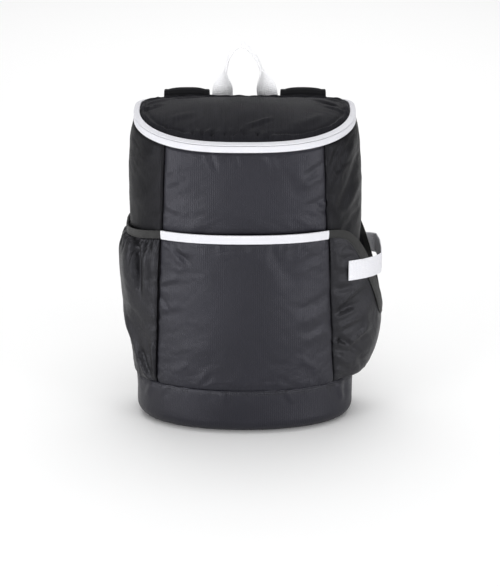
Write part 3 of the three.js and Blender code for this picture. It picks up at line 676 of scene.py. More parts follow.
# Lets the cloth of every panel buckle between its pinned seams, and keeps where it comes to rest
def settleCloth():
    waiting = []
    for name, (loose, slack, reach, cap) in cloth["panels"].items():
        points = panels[name]["points"]
        rows, columns = coarse(points.shape[0]), coarse(points.shape[1])
        start = points[np.ix_(rows, columns)]
        edges = edgeDistances(start)
        nearest = nearestEdge(edges)
        wobble = 0.25 * softNoise(edges["left"] / 6, edges["bottom"] / 6, len(waiting) + 101) * (nearest > 0)
        started = start + normalsOf(start) * wobble[..., None]
        mesh = bpy.data.meshes.new("settling")
        faces = gridFaces(len(rows) - 1, len(columns) - 1, len(columns), False)
        mesh.from_pydata((started.reshape(-1, 3) * mm).tolist(), [], faces.tolist())
        made = bpy.data.objects.new("settling", mesh)
        bpy.context.scene.collection.objects.link(made)
        pin, near = made.vertex_groups.new(name="pin"), made.vertex_groups.new(name="near")
        for i, distance in enumerate(nearest.ravel()):
            if distance == 0:
                pin.add([i], 1.0, "REPLACE")
            near.add([i], math.exp(-distance / reach), "REPLACE")
        modifier = made.modifiers.new("cloth", "CLOTH")
        settings = modifier.settings
        settings.quality = 6
        settings.mass = cloth["mass"]
        settings.tension_stiffness = settings.compression_stiffness = cloth["stretch"]
        settings.shear_stiffness = cloth["stretch"] / 3
        settings.bending_stiffness = cloth["bending"]
        settings.vertex_group_mass = "pin"
        settings.vertex_group_shrink = "near"
        settings.shrink_min, settings.shrink_max = -slack, -loose
        settings.use_pressure = True
        settings.uniform_pressure_force = cloth["pressure"]
        settings.effector_weights.gravity = 0
        modifier.collision_settings.use_collision = False
        modifier.point_cache.frame_start, modifier.point_cache.frame_end = 1, cloth["frames"]
        waiting.append((name, made, start, rows, columns, cap, nearest))
    for number in range(1, cloth["frames"] + 1):
        bpy.context.scene.frame_set(number)
    ready = bpy.context.evaluated_depsgraph_get()
    for name, made, start, rows, columns, cap, nearest in waiting:
        rested = made.evaluated_get(ready).to_mesh()
        moved = np.empty(len(rested.vertices) * 3, np.float32)
        rested.vertices.foreach_get("co", moved)
        shift = moved.reshape(start.shape).astype(float) / mm - start
        far = np.linalg.norm(shift, axis=-1, keepdims=True)
        print("  %s moved %.1f mm at most, %.2f on average" % (name, far.max(), far.mean()))
        shift = shift * np.tanh(far / cap) * cap / np.maximum(far, 1e-6)
        shift = shift * (1 - np.exp(-(nearest / 6) ** 2))[..., None]
        panel = panels[name]
        panel["points"] = panel["points"] + spread(shift, rows, columns, panel["points"].shape[:2])
        bpy.data.objects.remove(made)
    bpy.context.scene.frame_set(1)


def finishPanel(name, slot, *nodes):
    panel = panels[name]
    points = panel["points"]
    normals = normalsOf(points)
    edges = edgeDistances(points)
    grid = {"x": points[..., 0], "y": points[..., 1], "z": points[..., 2], "across": panel["across"],
            "turn": panel["turn"], **edges}
    lift = panel["detail"](grid)
    outer = points + normals * lift[..., None]
    inner = points - normals * np.maximum(panel["thickness"], 0.5 - lift)[..., None]
    sides = np.minimum(edges["left"], edges["right"])
    nearest = nearestEdge(edges)
    # painted shade right at each edge, painted highlight in a thin line about 3 mm in from it
    paintedSeamLight = np.exp(-((nearest - 3.2) / 1.3) ** 2) - 0.5 * np.exp(-(nearest / 6) ** 2)
    weave = np.stack([edges["left"] - edges["left"][:, -1:] / 2, grid["z"]], axis=-1)
    # painted shade in the strip within about a millimetre of each side seam
    made = makeWall(name, outer, inner, weave, paintedSeamLight, materials[panel["finish"]],
                    paintedSeamShade=0.85 * np.exp(-(sides / 1.2) ** 2))
    return seat(made, slot, *nodes)


# The front of the bag

front = {"tape": 11, "tapeThickness": 2.6, "fullness": 1.6, "cloth": 2}
# from x, z to x, z, height, width
frontPocketFolds = [
    (-97, 257, -66, 222, -2.4, 4), (-92, 250, -72, 236, 1.4, 4), (-88, 244, -60, 238, 1.0, 5),
    (-109, 193, -82, 206, 1.7, 4), (-109, 158, -76, 172, 1.7, 5), (-107, 178, -92, 160, -1.5, 3),
    (-60, 243, -40, 200, 1.0, 9), (30, 250, 62, 196, -1.4, 9), (84, 252, 60, 222, 1.2, 6),
    (108, 182, 70, 166, -1.6, 6), (108, 160, 60, 146, 1.5, 7), (70, 100, 100, 74, 1.5, 6),
    (-70, 92, -98, 72, 1.2, 6), (-10, 70, 6, 110, 0.8, 9), (104, 132, 70, 122, 1.1, 6),
    (40, 84, 66, 112, -1.0, 7), (-40, 120, -84, 104, 0.9, 10), (100, 226, 64, 214, 1.0, 6),
    (-104, 226, -72, 214, 0.9, 5), (20, 72, 32, 92, 0.9, 5), (-58, 68, -46, 88, 0.9, 4),
]
frontTopFolds = [
    (-44, 368, -34, 344, -1.8, 3), (98, 352, 72, 336, -1.6, 4), (99, 334, 66, 324, 1.5, 5),
    (100, 306, 72, 296, -1.4, 4), (-96, 352, -62, 310, 1.2, 9), (-60, 300, 20, 282, 1.0, 10),
    (104, 283, 84, 302, -1.6, 4), (60, 346, 84, 312, 1.4, 8), (28, 366, 40, 342, 1.2, 5),
    (-14, 366, -8, 348, -1.0, 3), (-98, 296, -74, 288, 1.2, 4), (-98, 322, -80, 330, 1.0, 4),
    (86, 270, 62, 284, 1.2, 6), (-70, 268, -40, 282, 0.9, 7),
]


def fullness(across, z):
    rise = np.clip((z - bag["baseSeam"]) / (bag["pocketTop"] - bag["baseSeam"]), 0, 1)
    return front["fullness"] * np.sin(math.pi * across) * np.sin(math.pi / 2 * rise)


def frontPocketDetail(g):
    lift = 1.0 * softNoise(g["x"] / 70, g["z"] / 74, 3) + 0.2 * softNoise(g["x"] / 26, g["z"] / 31, 4)
    lift = lift + 0.75 * folds(frontPocketFolds, g["x"], g["z"])
    for edge, along, pitch, seed in (("left", "bottom", 15, 11), ("right", "bottom", 17, 12)):
        lift = lift + crevice(g[edge]) + puckers(g[along], g[edge], 1.3, pitch, 9, seed)
    lift = lift + crevice(g["bottom"], 1.2, 0.8) + puckers(g["left"], g["bottom"], 1.5, 8, 7, 13)
    return lift + seamRoll(g["top"], 0.9, 1.6) + puckers(g["left"], g["top"], 0.9, 12, 12, 14)


def frontTopDetail(g):
    lift = 0.9 * softNoise(g["x"] / 62, g["z"] / 52, 5) + 0.2 * softNoise(g["x"] / 24, g["z"] / 27, 6)
    lift = lift + 0.8 * folds(frontTopFolds, g["x"], g["z"])
    for edge, seed in (("left", 15), ("right", 16)):
        lift = lift + crevice(g[edge]) + puckers(g["bottom"], g[edge], 1.3, 14, 9, seed)
    lift = lift + seamRoll(g["top"], 1.6, 2.0) + puckers(g["left"], g["top"], 0.7, 10, 8, 17)
    return lift - 1.2 * np.exp(-g["bottom"] / 5)


def plainDetail(g):
    return -4.4 * np.exp(-nearestEdge(g) / 3) - 0.4


def rimTop(turn):
    return rimHeight(turn) - bag["gap"]


def onBody(across, z):
    return 0 * z


def frontPocketStand(across, z):
    return fullness(across, z) + bag["gap"] + front["cloth"]


pocketEdge = bag["pocketTop"] - front["tape"] - bag["gap"]
aboveBase = {"bottom": level(bag["baseSeam"])}
addPanel("front_panel_lower_cloth", {**frontEdges, **aboveBase, "top": level(bag["pocketTop"])},
         40, 30, onBody, bag["wall"], plainDetail, "shell")
addPanel("front_panel_upper_cloth",
         {**frontEdges, "bottom": level(bag["pocketTop"] + bag["gap"]), "top": rimTop},
         130, 80, onBody, bag["wall"], frontTopDetail, "shell")
addPanel("front_pocket_cloth", {**frontEdges, **aboveBase, "top": level(pocketEdge)},
         140, 130, frontPocketStand, front["cloth"], frontPocketDetail, "shell")

# The sides of the bag. Folds are from x, z to x, z, height, width, on what faces the front.
rightSideFolds = [
    (133, 372, 106, 312, 2.6, 5), (141, 352, 116, 290, -2.6, 5), (143, 318, 124, 284, 2.0, 5),
    (112, 366, 103, 340, -1.5, 3), (126, 376, 112, 352, 1.5, 3.5), (104, 304, 120, 276, 1.6, 4),
]
leftSideFolds = [
    (-106, 316, -140, 290, 1.4, 7), (-104, 340, -140, 316, -1.2, 8), (-104, 284, -126, 272, -1.2, 5),
    (-102, 372, -128, 340, 1.1, 8), (-126, 376, -138, 350, -0.9, 6),
]


def sideDetail(table, frontEdge, seed, lively):
    backEdge = "left" if frontEdge == "right" else "right"

    def detail(g):
        facing = 1 - smoothStep(g["y"], 0, 40)
        lift = facing * folds(table, g["x"], g["z"])
        lift = lift + lively * softNoise(g["y"] / 46, g["z"] / 64, seed)
        lift = lift + 0.35 * lively * softNoise(g["y"] / 17, g["z"] / 24, seed + 1)
        lift = lift + lively * puckers(g["bottom"], g[frontEdge], 1.3, 14, 10, seed + 2)
        lift = lift + puckers(g["bottom"], g[backEdge], 1.0, 12, 10, seed + 3)
        lift = lift + seamRoll(g["top"], 1.6, 2.0) + puckers(g["left"], g["top"], 0.8, 9, 9, seed + 4)
        under = 1 - smoothStep(g["z"], bag["pocketTop"] - 40, bag["pocketTop"])  # behind the pocket
        side = np.minimum(g[frontEdge], g[backEdge])
        sewn = crevice(side) - 2.4 * under * np.exp(-side / 3)
        return lift * (1 - 0.8 * under) - 0.8 * under + sewn

    return detail


sideTop = {**aboveBase, "top": rimTop}
addPanel("side_panel_left_cloth", {**leftEdges, **sideTop}, 80, 116, onBody, bag["wall"],
         sideDetail(leftSideFolds, "right", 21, 0.6), "sidePanelPaintedShade")
addPanel("side_panel_right_cloth", {**rightEdges, **sideTop}, 80, 116, onBody, bag["wall"],
         sideDetail(rightSideFolds, "left", 31, 1.0), "sidePanelPaintedShade")

# The padded back with its sewn channels: x of each, and the height of the cross channels
back = {"channels": (-62, 0, 62), "cross": (120, 205, 300), "depth": 2.6, "width": 3.2}


def backDetail(g):
    lift = 0.4 * softNoise(g["x"] / 40, g["z"] / 50, 41) - 0.5
    border = nearestEdge(g)
    lift = lift + seamRoll(border, 2.6, 4)
    lift = lift - 1.6 * np.exp(-((border - 14) / 2) ** 2)
    inField = smoothStep(border, 14, 18)
    for x in back["channels"]:
        lift = lift - inField * back["depth"] * np.exp(-np.abs(g["x"] - x) / back["width"])
    for z in back["cross"]:
        arch = z + 16 * (1 - (g["x"] / bag["backSeam"]) ** 2)
        lift = lift - inField * back["depth"] * np.exp(-np.abs(g["z"] - arch) / back["width"])
    return np.minimum(lift, 0)


addPanel("back_panel_cloth", {**backEdges, **sideTop}, 100, 100, onBody, bag["backPad"],
         backDetail, "padding")

# The left pocket, gathered under its elastic binding
leftPocket = {"bulge": 12, "dip": 9, "ease": 2.4, "flatness": 0.8, "binding": 10, "bindingThickness": 2.8,
              "pleat": 1.9}
leftProfile = [(0, 0), (0.1, 0.06), (0.37, 0.55), (0.58, 0.9), (0.74, 1), (0.86, 0.94), (0.95, 0.55), (1, 0)]
# share of the way from the back seam to the front seam, length, depth and width in millimetres
leftPleats = [
    (0.06, 26, 1.6, 2.2), (0.13, 40, 2.2, 2.6), (0.2, 22, 1.4, 2.0), (0.27, 48, 2.6, 3.0),
    (0.34, 24, 1.8, 2.2), (0.41, 34, 2.2, 2.6), (0.48, 20, 1.6, 2.0), (0.545, 44, 2.4, 2.8),
    (0.6, 24, 1.6, 2.0), (0.66, 30, 2.0, 2.2), (0.72, 16, 1.6, 1.8), (0.775, 46, 3.0, 2.6),
    (0.83, 18, 1.6, 1.6), (0.88, 34, 2.2, 2.0), (0.93, 26, 1.8, 1.8), (0.97, 14, 1.2, 1.4),
]
leftPocketFolds = [
    (-135, 250, -130, 176, -5.2, 3.2), (-154, 142, -121, 60, 4.6, 3.6), (-132, 98, -120, 60, -4.2, 2.8),
    (-117, 112, -113, 58, 3.2, 3.0), (-126, 238, -120, 200, 1.6, 5), (-112, 226, -110, 190, 1.0, 4),
    (-140, 150, -128, 112, -1.4, 6),
]
# x, z, half width, half height, lift
leftPocketBulges = [(-145, 208, 8, 38, 4.6), (-124, 206, 7, 30, 2.2), (-112, 150, 10, 40, 1.2)]


def leftShare(turn):
    high = np.array(float(bag["pocketTop"]))
    start, end = frontSeam(high), backSeam(high)
    return np.clip((-turn - start) / (end - start), 0, 1)


def leftMouth(turn):
    return bag["pocketTop"] - leftPocket["dip"] * np.sin(math.pi * leftShare(turn))


def leftStand(across, z):
    height = bag["pocketTop"] - leftPocket["dip"] - leftPocket["binding"] - bag["baseSeam"]
    rise = (z - bag["baseSeam"]) / height
    swell = np.sin(math.pi * across) ** leftPocket["flatness"]
    out = leftPocket["bulge"] * alongTable(leftProfile, 1, rise)
    return swell * (out + leftPocket["ease"] * np.minimum(1, rise) + 1.1)


def leftPocketDetail(g):
    lift = 1.0 * softNoise(g["y"] / 34, g["z"] / 60, 51) + 0.3 * softNoise(g["y"] / 14, g["z"] / 26, 52)
    facing = 1 - smoothStep(g["y"], -6, 22)
    lift = lift + facing * folds(leftPocketFolds, g["x"], g["z"])
    for x, z, halfWidth, halfHeight, height in leftPocketBulges:
        away = np.hypot((g["x"] - x) / halfWidth, (g["z"] - z) / halfHeight)
        lift = lift + facing * height * np.exp(-away ** 3)
    width = g["left"][:, -1:]
    for share, length, depth, breadth in leftPleats:
        narrowing = np.maximum(0.12, 1 - g["top"] / length)
        off = np.abs(g["left"] - share * width) / (breadth * (0.5 + narrowing))
        valley = np.exp(-off ** 1.5) * smoothStep(length - g["top"], 0, length * 0.8)
        lift = lift - leftPocket["pleat"] * depth * valley
    lift = lift + 1.4 * np.exp(-((g["top"] - 7) / 5) ** 2)
    for edge in ("left", "right"):
        lift = lift + crevice(g[edge]) + puckers(g["bottom"], g[edge], 1.2, 13, 8, 53)
    lift = lift + crevice(g["bottom"], 1.2, 0.8) + puckers(g["left"], g["bottom"], 1.4, 9, 9, 54)
    return lift + seamRoll(g["top"], 1.6, 1.4)


def leftClothTop(turn):
    return leftMouth(turn) - leftPocket["binding"] - bag["gap"]


def leftClothStand(across, z):
    return leftStand(across, z) + bag["gap"] + front["cloth"]


addPanel("left_pocket_cloth", {**leftEdges, **aboveBase, "top": leftClothTop}, 170, 130, leftClothStand,
         front["cloth"], leftPocketDetail, "side")

# The right pocket with its scooped mouth
rightPocket = {"bulge": 33, "scoop": 118, "narrowness": 3.5, "flatness": 1.4, "binding": 10,
               "bindingThickness": 2.8, "steepest": 2.6, "length": 172.5, "strapHeight": 208.5,
               "strapInset": 0.105, "strapDraw": 5, "strapSewn": 0.88, "strapThickness": 2.2}
rightProfile = [(0, 0), (0.012, 0.36), (0.1, 0.66), (0.2, 0.85), (0.36, 0.97), (0.5, 1), (0.7, 0.95),
                (1, 0.84)]
rightPocketFolds = [
    (112, 160, 146, 186, 3.0, 4), (112, 150, 142, 162, -3.0, 3.2), (114, 132, 146, 144, 2.8, 4),
    (114, 120, 136, 106, -3.2, 3.0), (130, 108, 156, 126, 2.4, 4), (112, 182, 138, 190, -1.8, 4),
    (112, 222, 128, 214, 1.4, 5), (116, 94, 142, 76, 1.5, 6), (152, 156, 158, 108, 1.6, 6),
    (114, 78, 134, 66, 1.4, 4), (144, 92, 152, 70, -1.4, 4),
]


def rightStand(across, z):
    rise = (z - bag["baseSeam"]) / (bag["pocketTop"] - bag["baseSeam"])
    swell = np.sin(math.pi * np.clip(across, 0, 1)) ** rightPocket["flatness"]
    return rightPocket["bulge"] * swell * alongTable(rightProfile, 1, rise)


def scoopDrop(share):
    return rightPocket["scoop"] * np.sin(math.pi * np.clip(share, 0, 1)) ** rightPocket["narrowness"]


def rightShare(turn):
    high = np.array(float(bag["pocketTop"]))
    start, end = frontSeam(high), backSeam(high)
    return np.clip((turn - start) / (end - start), 0, 1)


def rightMouth(turn):
    return bag["pocketTop"] - scoopDrop(rightShare(turn))


# How much longer the mouth's edge is than its run round the bag
def steepness(turn):
    share = rightShare(turn)
    drop = scoopDrop(share + 0.005) - scoopDrop(share - 0.005)
    return np.minimum(rightPocket["steepest"], np.hypot(1, drop / (0.01 * rightPocket["length"])))


def rightPocketDetail(g):
    lift = 0.9 * softNoise(g["y"] / 34, g["z"] / 46, 61) + 0.4 * softNoise(g["y"] / 15, g["z"] / 22, 62)
    facing = 1 - smoothStep(g["y"], -20, 20)
    lift = lift + facing * folds(rightPocketFolds, g["x"], g["z"])
    lift = lift + puckers(g["bottom"], g["left"], 1.5, 15, 12, 63)
    lift = lift + puckers(g["bottom"], g["right"], 1.2, 13, 10, 64)
    lift = lift + crevice(g["bottom"], 1.2, 0.8) + puckers(g["left"], g["bottom"], 1.4, 9, 9, 65)
    nearStrap = 1 - smoothStep(np.abs(g["z"] - rightPocket["strapHeight"]), 15, 30)
    nearStrap = nearStrap * smoothStep(g["across"], 0.03, 0.09) * (1 - smoothStep(g["across"], 0.91, 0.97))
    lift = lift * (1 - np.exp(-g["top"] / 6)) * (1 - nearStrap)
    return lift + crevice(g["left"]) + crevice(g["right"])


def rightClothTop(turn):
    return rightMouth(turn) - (rightPocket["binding"] + 0.6) * steepness(turn)


def rightClothStand(across, z):
    return rightStand(across, z) + bag["gap"] + front["cloth"]


addPanel("right_pocket_cloth", {**rightEdges, **aboveBase, "top": rightClothTop}, 160, 110, rightClothStand,
         front["cloth"], rightPocketDetail, "side")

settleCloth()
print("cloth settled")

finishPanel("front_panel_lower_cloth", "shell_fabric", "front_panel_lower")
finishPanel("front_panel_upper_cloth", "shell_fabric", "front_panel_upper")
finishPanel("side_panel_left_cloth", "side_fabric", "side_panel_left")
finishPanel("side_panel_right_cloth", "side_fabric", "side_panel_right")
finishPanel("back_panel_cloth", "back_padding", "back_panel")
finishPanel("front_pocket_cloth", "shell_fabric", "front_pocket")
finishPanel("left_pocket_cloth", "side_fabric", "left_pocket")
finishPanel("right_pocket_cloth", "side_fabric", "right_pocket")
print("cloth panels made")

# The base: floor, rounded lower edge and wall, from the middle of the floor up to the seam
baseFolds = [
    (118, 56, 124, 30, 1.8, 3), (128, 58, 130, 28, -1.8, 3), (108, 54, 112, 36, -1.2, 2.5),
    (-118, 56, -126, 34, 1.2, 3), (-96, 56, -100, 40, -1.0, 3), (-30, 56, -24, 42, 0.9, 3),
    (52, 56, 60, 40, 0.9, 3),
]
base = {"columns": 260, "floorRings": 8, "edgeRings": 14, "wallRings": 34}


def turnsEvenRound(count):
    fine = np.linspace(-math.pi, math.pi, 4001)
    run = runLength(bodyPoint(fine, np.full(fine.shape, float(bag["baseSeam"]))))
    return np.interp(np.arange(count) / count * run[-1], run, fine)


def makeBase():
    turn = turnsEvenRound(base["columns"])[None, :]
    floor = np.linspace(0, 1, base["floorRings"], endpoint=False)[:, None]
    angle = np.linspace(0, math.pi / 2, base["edgeRings"])[:, None]
    inset = bag["baseRadius"] * (1 - np.sin(angle))
    low = bag["baseRadius"] * (1 - np.cos(angle))
    wallShares = crowdedShares(base["wallRings"])[1:]
    wall = mix(bag["baseRadius"], bag["baseSeam"] - bag["gap"], wallShares)[:, None]
    edge = bodyPoint(turn, low + 0 * turn, -inset)
    floorRim = bodyPoint(turn, np.zeros(turn.shape), -bag["baseRadius"])
    rings = [floorRim * floor[:, :, None], edge, bodyPoint(turn, wall + 0 * turn)]
    points = np.concatenate(rings)
    normals = normalsOf(points, wraps=True)
    z = points[..., 2]
    around = np.zeros(points.shape[:2])
    around[:, 1:] = np.cumsum(np.linalg.norm(np.diff(points[-1], axis=0), axis=1))[None, :]
    down = bag["baseSeam"] - z
    lift = 0.9 * softNoise(around / 60, z / 40, 71) + 0.3 * softNoise(around / 22, z / 20, 72)
    lift = lift * smoothStep(z, 4, 24)
    lift = lift + crevice(down, 1.8, 0.8) + puckers(around, down, 1.2, 9, 8, 73) * smoothStep(z, 20, 50)
    facing = 1 - smoothStep(points[..., 1], 0, 40)
    lift = lift + facing * folds(baseFolds, points[..., 0], z)
    outer = points + normals * lift[..., None]
    outer[..., 2] = np.maximum(outer[..., 2], 0)
    inner = points - normals * bag["wall"]
    inner[..., 2] = np.where(z < bag["wall"], np.maximum(inner[..., 2], bag["wall"]), inner[..., 2])
    inner[0] = inner[0].mean(0)
    outer[0] = outer[0].mean(0)
    length = runLength(bodyPoint(turn[0], np.full(turn[0].shape, float(bag["baseSeam"]))))[-1] + 4
    climb = np.cumsum(np.concatenate([[0], np.linalg.norm(np.diff(points[:, 0], axis=0), axis=1)]))
    weave = np.zeros((points.shape[0], base["columns"] + 1, 2))
    weave[:, :-1, 0] = around
    weave[:, -1, 0] = length
    weave[..., 1] = climb[:, None]
    # painted highlight along the base seam
    paintedSeamLight = np.exp(-(down / 2.2) ** 2)
    made = makeWall("base_panel_cloth", outer, inner, weave, paintedSeamLight, materials["shell"], wraps=True)
    faceOutwards(made, weld=True)
    return seat(made, "shell_fabric", "base_panel")


basePiece = makeBase()
print("base made")

# The zip and the lid
zipper = {"bodyTape": 8, "lidTape": 6, "lidRise": 2, "tape": 2, "setBack": 0.5, "stations": 300,
          "tooth": 1.7, "coilWidth": 3}
lean = math.hypot(zipper["lidTape"], zipper["lidRise"])
zipper["foot"] = zipper["bodyTape"] + bag["gap"] + zipper["tape"] * zipper["lidTape"] / lean
zipper["height"] = zipper["foot"] + zipper["lidRise"]


def rimTurns(start, end, count):
    fine = np.linspace(start, end, 3001)
    run = runLength(bodyPoint(fine, rimHeight(fine)))
    return np.interp(np.linspace(0, run[-1], count), run, fine)


def rimLine(turn, inset, rise):
    return bodyPoint(turn, rimHeight(turn) + rise, -inset)


def unit(vectors):
    return vectors / np.linalg.norm(vectors, axis=-1, keepdims=True)


def bandBetween(name, low, high, thickness, section, material):
    middle = (low + high) / 2
    tangent = unit(np.gradient(middle, axis=0))
    wide = high - low
    wide = unit(wide - tangent * (wide * tangent).sum(1, keepdims=True))
    thick = unit(np.cross(tangent, wide))
    return makeBand(name, middle - thick * thickness / 2, wide, thick, section, material), thick


def makeZip():
    end = float(backSeam(np.array(float(bag["rimBack"]))))
    turn = rimTurns(-end, end, zipper["stations"])
    low = rimLine(turn, zipper["setBack"], bag["gap"])
    high = rimLine(turn, zipper["setBack"], zipper["bodyTape"])
    bodyTape, outward = bandBetween("zip_tape_body_weave", low, high, zipper["tape"],
                                    tapeSection(zipper["bodyTape"], zipper["tape"], [(2.2, 0.22)]),
                                    materials["whiteTape"])
    seat(bodyTape, "white_tape", "zip_tape_body")
    runs = [stitchRun(mix(low, high, 0.22), outward, pitch=3.0, length=2.2, lift=-0.1)]
    foot = rimLine(turn, zipper["setBack"], zipper["foot"])
    top = rimLine(turn, zipper["setBack"] + zipper["lidTape"], zipper["height"])
    lidTape, upward = bandBetween("zip_tape_lid_weave", foot, top, zipper["tape"],
                                  tapeSection(lean + 1.3, zipper["tape"], [(1.9, 0.2)]),
                                  materials["whiteTape"])
    seat(lidTape, "white_tape", "zip_tape_lid")
    runs.append(stitchRun(mix(foot, top, 0.8), upward, pitch=3.0, length=2.2, lift=-0.1))
    seat(makeStitches("zip_stitches", runs, 0.5, materials["whiteThread"]), "white_tape")
    inset = zipper["setBack"] + zipper["tape"] + bag["gap"] + 1.1
    rise = zipper["bodyTape"] - zipper["tape"] - zipper["coilWidth"] / 2
    line = rimLine(turn, inset, rise)
    tangent = unit(np.gradient(line, axis=0))
    teeth = stitchRun(line, tangent, pitch=zipper["tooth"], length=zipper["coilWidth"], lift=0)
    teeth["up"] = unit(np.cross(teeth["along"], [0, 0, 1.0]))
    teeth["along"] = np.tile([0, 0, 1.0], (len(teeth["up"]), 1))
    seat(makeStitches("zip_coil_teeth", [teeth], 1.3, materials["whitePlastic"]), "zip_plastic", "zip_coil")


def makeHinge():
    start = float(backSeam(np.array(float(bag["rimBack"])))) + 0.01
    turn = rimTurns(start, 2 * math.pi - start, 120)
    low = rimLine(turn, zipper["setBack"], bag["gap"])
    high = rimLine(turn, zipper["setBack"] + 2.5, zipper["height"] - 0.4)
    made = bandBetween("lid_hinge_cloth", low, high, zipper["tape"],
                       tapeSection(12.4, zipper["tape"], [(4.2, 0.3)]), materials["shell"])[0]
    return seat(made, "shell_fabric", "lid_hinge")


makeZip()
makeHinge()
print("zip made")

lid = {"thickness": 5, "crown": 6, "fall": 2.4, "columns": 280, "rings": 74, "ridge": 2.6, "ridgeInset": 4.4,
       "ridgeWidth": 1.9}
# from x, y to x, y, height, width
lidFolds = [
    (86, 26, 133, -14, 2.2, 2.2), (98, -4, 130, -22, 2.0, 2), (90, 10, 126, -4, -1.8, 3),
    (104, 40, 124, 20, 1.8, 2.2), (-96, 30, -130, 8, 2.0, 2.2), (-92, 32, -48, 44, 1.5, 2.6),
    (-104, -2, -131, -16, -1.7, 3), (-100, 6, -126, -6, 1.5, 2.4), (-12, -74, 6, -54, 2.4, 2.4),
    (4, -56, 34, -42, 1.8, 2.6), (-26, -76, -8, -64, -1.6, 2.6), (18, -76, 30, -62, 1.6, 2.4),
    (-50, -72, -38, -58, 1.8, 2.4), (-30, -60, 20, -20, 0.9, 10), (40, -70, 80, -40, 1.2, 8),
    (-90, -40, -60, -30, 1.0, 5), (70, -52, 96, -30, 1.2, 5),
]


def makeLid():
    turn = turnsEvenRound(lid["columns"])[None, :]
    tapeLean = zipper["tape"] * zipper["lidRise"] / lean
    edgeInset = zipper["setBack"] + zipper["lidTape"] + tapeLean + bag["gap"]
    edge = bodyPoint(turn, rimHeight(turn) + zipper["height"], -edgeInset)[0]
    share = (1 - np.linspace(0, 1, lid["rings"]) ** 1.8)[:, None]
    rim = rimHeight(turn) + zipper["height"]
    middle = bag["rimBack"] + zipper["height"]
    z = mix(middle, rim, share ** lid["fall"]) + lid["crown"] * (1 - share ** 2)
    points = np.concatenate([edge[None, :, :2] * share[..., None], z[..., None]], axis=2)
    x, y = points[..., 0], points[..., 1]
    inset = np.linalg.norm(edge[None, :, :2] * (1 - share[..., None]), axis=2)
    around = runLength(edge)[None, :]
    atFront = smoothStep(-y, 30, 60) * smoothStep(x, -78, -60) * (1 - smoothStep(x, 24, 44))
    uneven = 0.75 + 0.5 * softNoise(around / 9, inset / 9, 85)
    ridge = np.exp(-((inset - lid["ridgeInset"]) / lid["ridgeWidth"]) ** 2)
    lift = lid["ridge"] * (1 - 0.7 * atFront) * uneven * ridge
    lift = lift - 0.9 * (1 - atFront) * np.exp(-((inset - 9.2) / 2.2) ** 2) + seamRoll(inset, 1.6, 1.2)
    scallops = np.sqrt(np.abs(np.sin(math.pi * x / 12.5 + 0.9 * softNoise(x / 20, 0, 83))))
    lift = lift + atFront * 5.6 * (scallops - 0.5) * np.exp(-((inset - 7.5) / 6) ** 2)
    lift = lift + puckers(around, inset, 1.6, 12, 15, 81) + folds(lidFolds, x, y)
    rolling = 1.0 * softNoise(x / 55, y / 40, 82) + 0.25 * softNoise(x / 18, y / 24, 84)
    lift = lift + rolling * smoothStep(inset, 3, 20)
    outer = points.copy()
    outer[..., 2] += lift
    inner = points.copy()
    inner[..., 2] -= lid["thickness"]
    for grid in (outer, inner):
        grid[-1] = grid[-1].mean(0)
    weave = np.zeros(points.shape[:1] + (lid["columns"] + 1, 2))
    weave[:, :-1] = points[..., :2]
    weave[:, -1] = points[:, 0, :2]
    # painted highlight on the turned-seam ridge inside the zip
    paintedSeamLight = np.exp(-((inset - lid["ridgeInset"]) / 2.5) ** 2)
    made = makeWall("lid_cloth", outer, inner, weave, paintedSeamLight, materials["shellTop"], wraps=True)
    faceOutwards(made, weld=True)
    return seat(made, "shell_fabric", "lid")


lidPiece = makeLid()
print("lid made")

# Tapes and bindings on the pockets


# A tape that lies on a surface given as a grid, lower edge first
def makeTapeOn(name, ground, thickness, material, grooves=(), waves=0.0):
    rows, columns = ground.shape[:2]
    normals = normalsOf(ground)
    edges = edgeDistances(ground)
    x = np.linspace(-1, 1, rows)[:, None]
    profile = np.maximum((1 - np.abs(x) ** 6) ** 0.45, 0.15)
    top = thickness * (0.5 + 0.5 * profile) + 0 * edges["left"]
    for share in grooves:
        top = top - 0.35 * np.exp(-((x - share) * edges["top"].max() / 2 / 0.8) ** 2)
    top = top + waves * softNoise(edges["left"] / 6, x * 0.7, 97)
    outer = ground + normals * top[..., None]
    inner = ground + normals * (thickness * (0.5 - 0.5 * profile))[..., None]
    weave = np.stack([edges["left"], edges["bottom"]], axis=-1)
    made = makeWall(name, outer, inner, weave, np.zeros((rows, columns)), material)
    return made, outer, normals


def tapeRows(count=15):
    return (1 - np.cos(np.linspace(0, math.pi, count))) * 0.5


def alongRow(grid, share):
    at = share * (len(grid) - 1)
    low = int(at)
    return mix(grid[low], grid[min(low + 1, len(grid) - 1)], at - low)


def makeFrontTape():
    rows = tapeRows()[:, None]
    z = bag["pocketTop"] - front["tape"] * (1 - rows)
    end = float(frontSeam(np.array(float(bag["pocketTop"])))) - 0.003
    turn = np.linspace(-end, end, 220)[None, :]
    across = (turn + end) / (2 * end)
    ground = bodyPoint(turn, z, fullness(across, z) + bag["gap"])
    made, outer, normals = makeTapeOn("front_pocket_tape_weave", ground, front["tapeThickness"],
                                      materials["whiteTape"], (-0.68, 0.68), 0.12)
    runs = [stitchRun(alongRow(outer, share), alongRow(normals, share), lift=-0.1) for share in (0.26, 0.74)]
    for place in (3, -4):
        runs.append(stitchRun(outer[3:-3, place], normals[3:-3, place], lift=-0.02))
    seat(makeStitches("front_tape_stitches", runs, 0.5, materials["whiteThread"]), "white_tape")
    return seat(made, "white_tape", "front_pocket_tape")


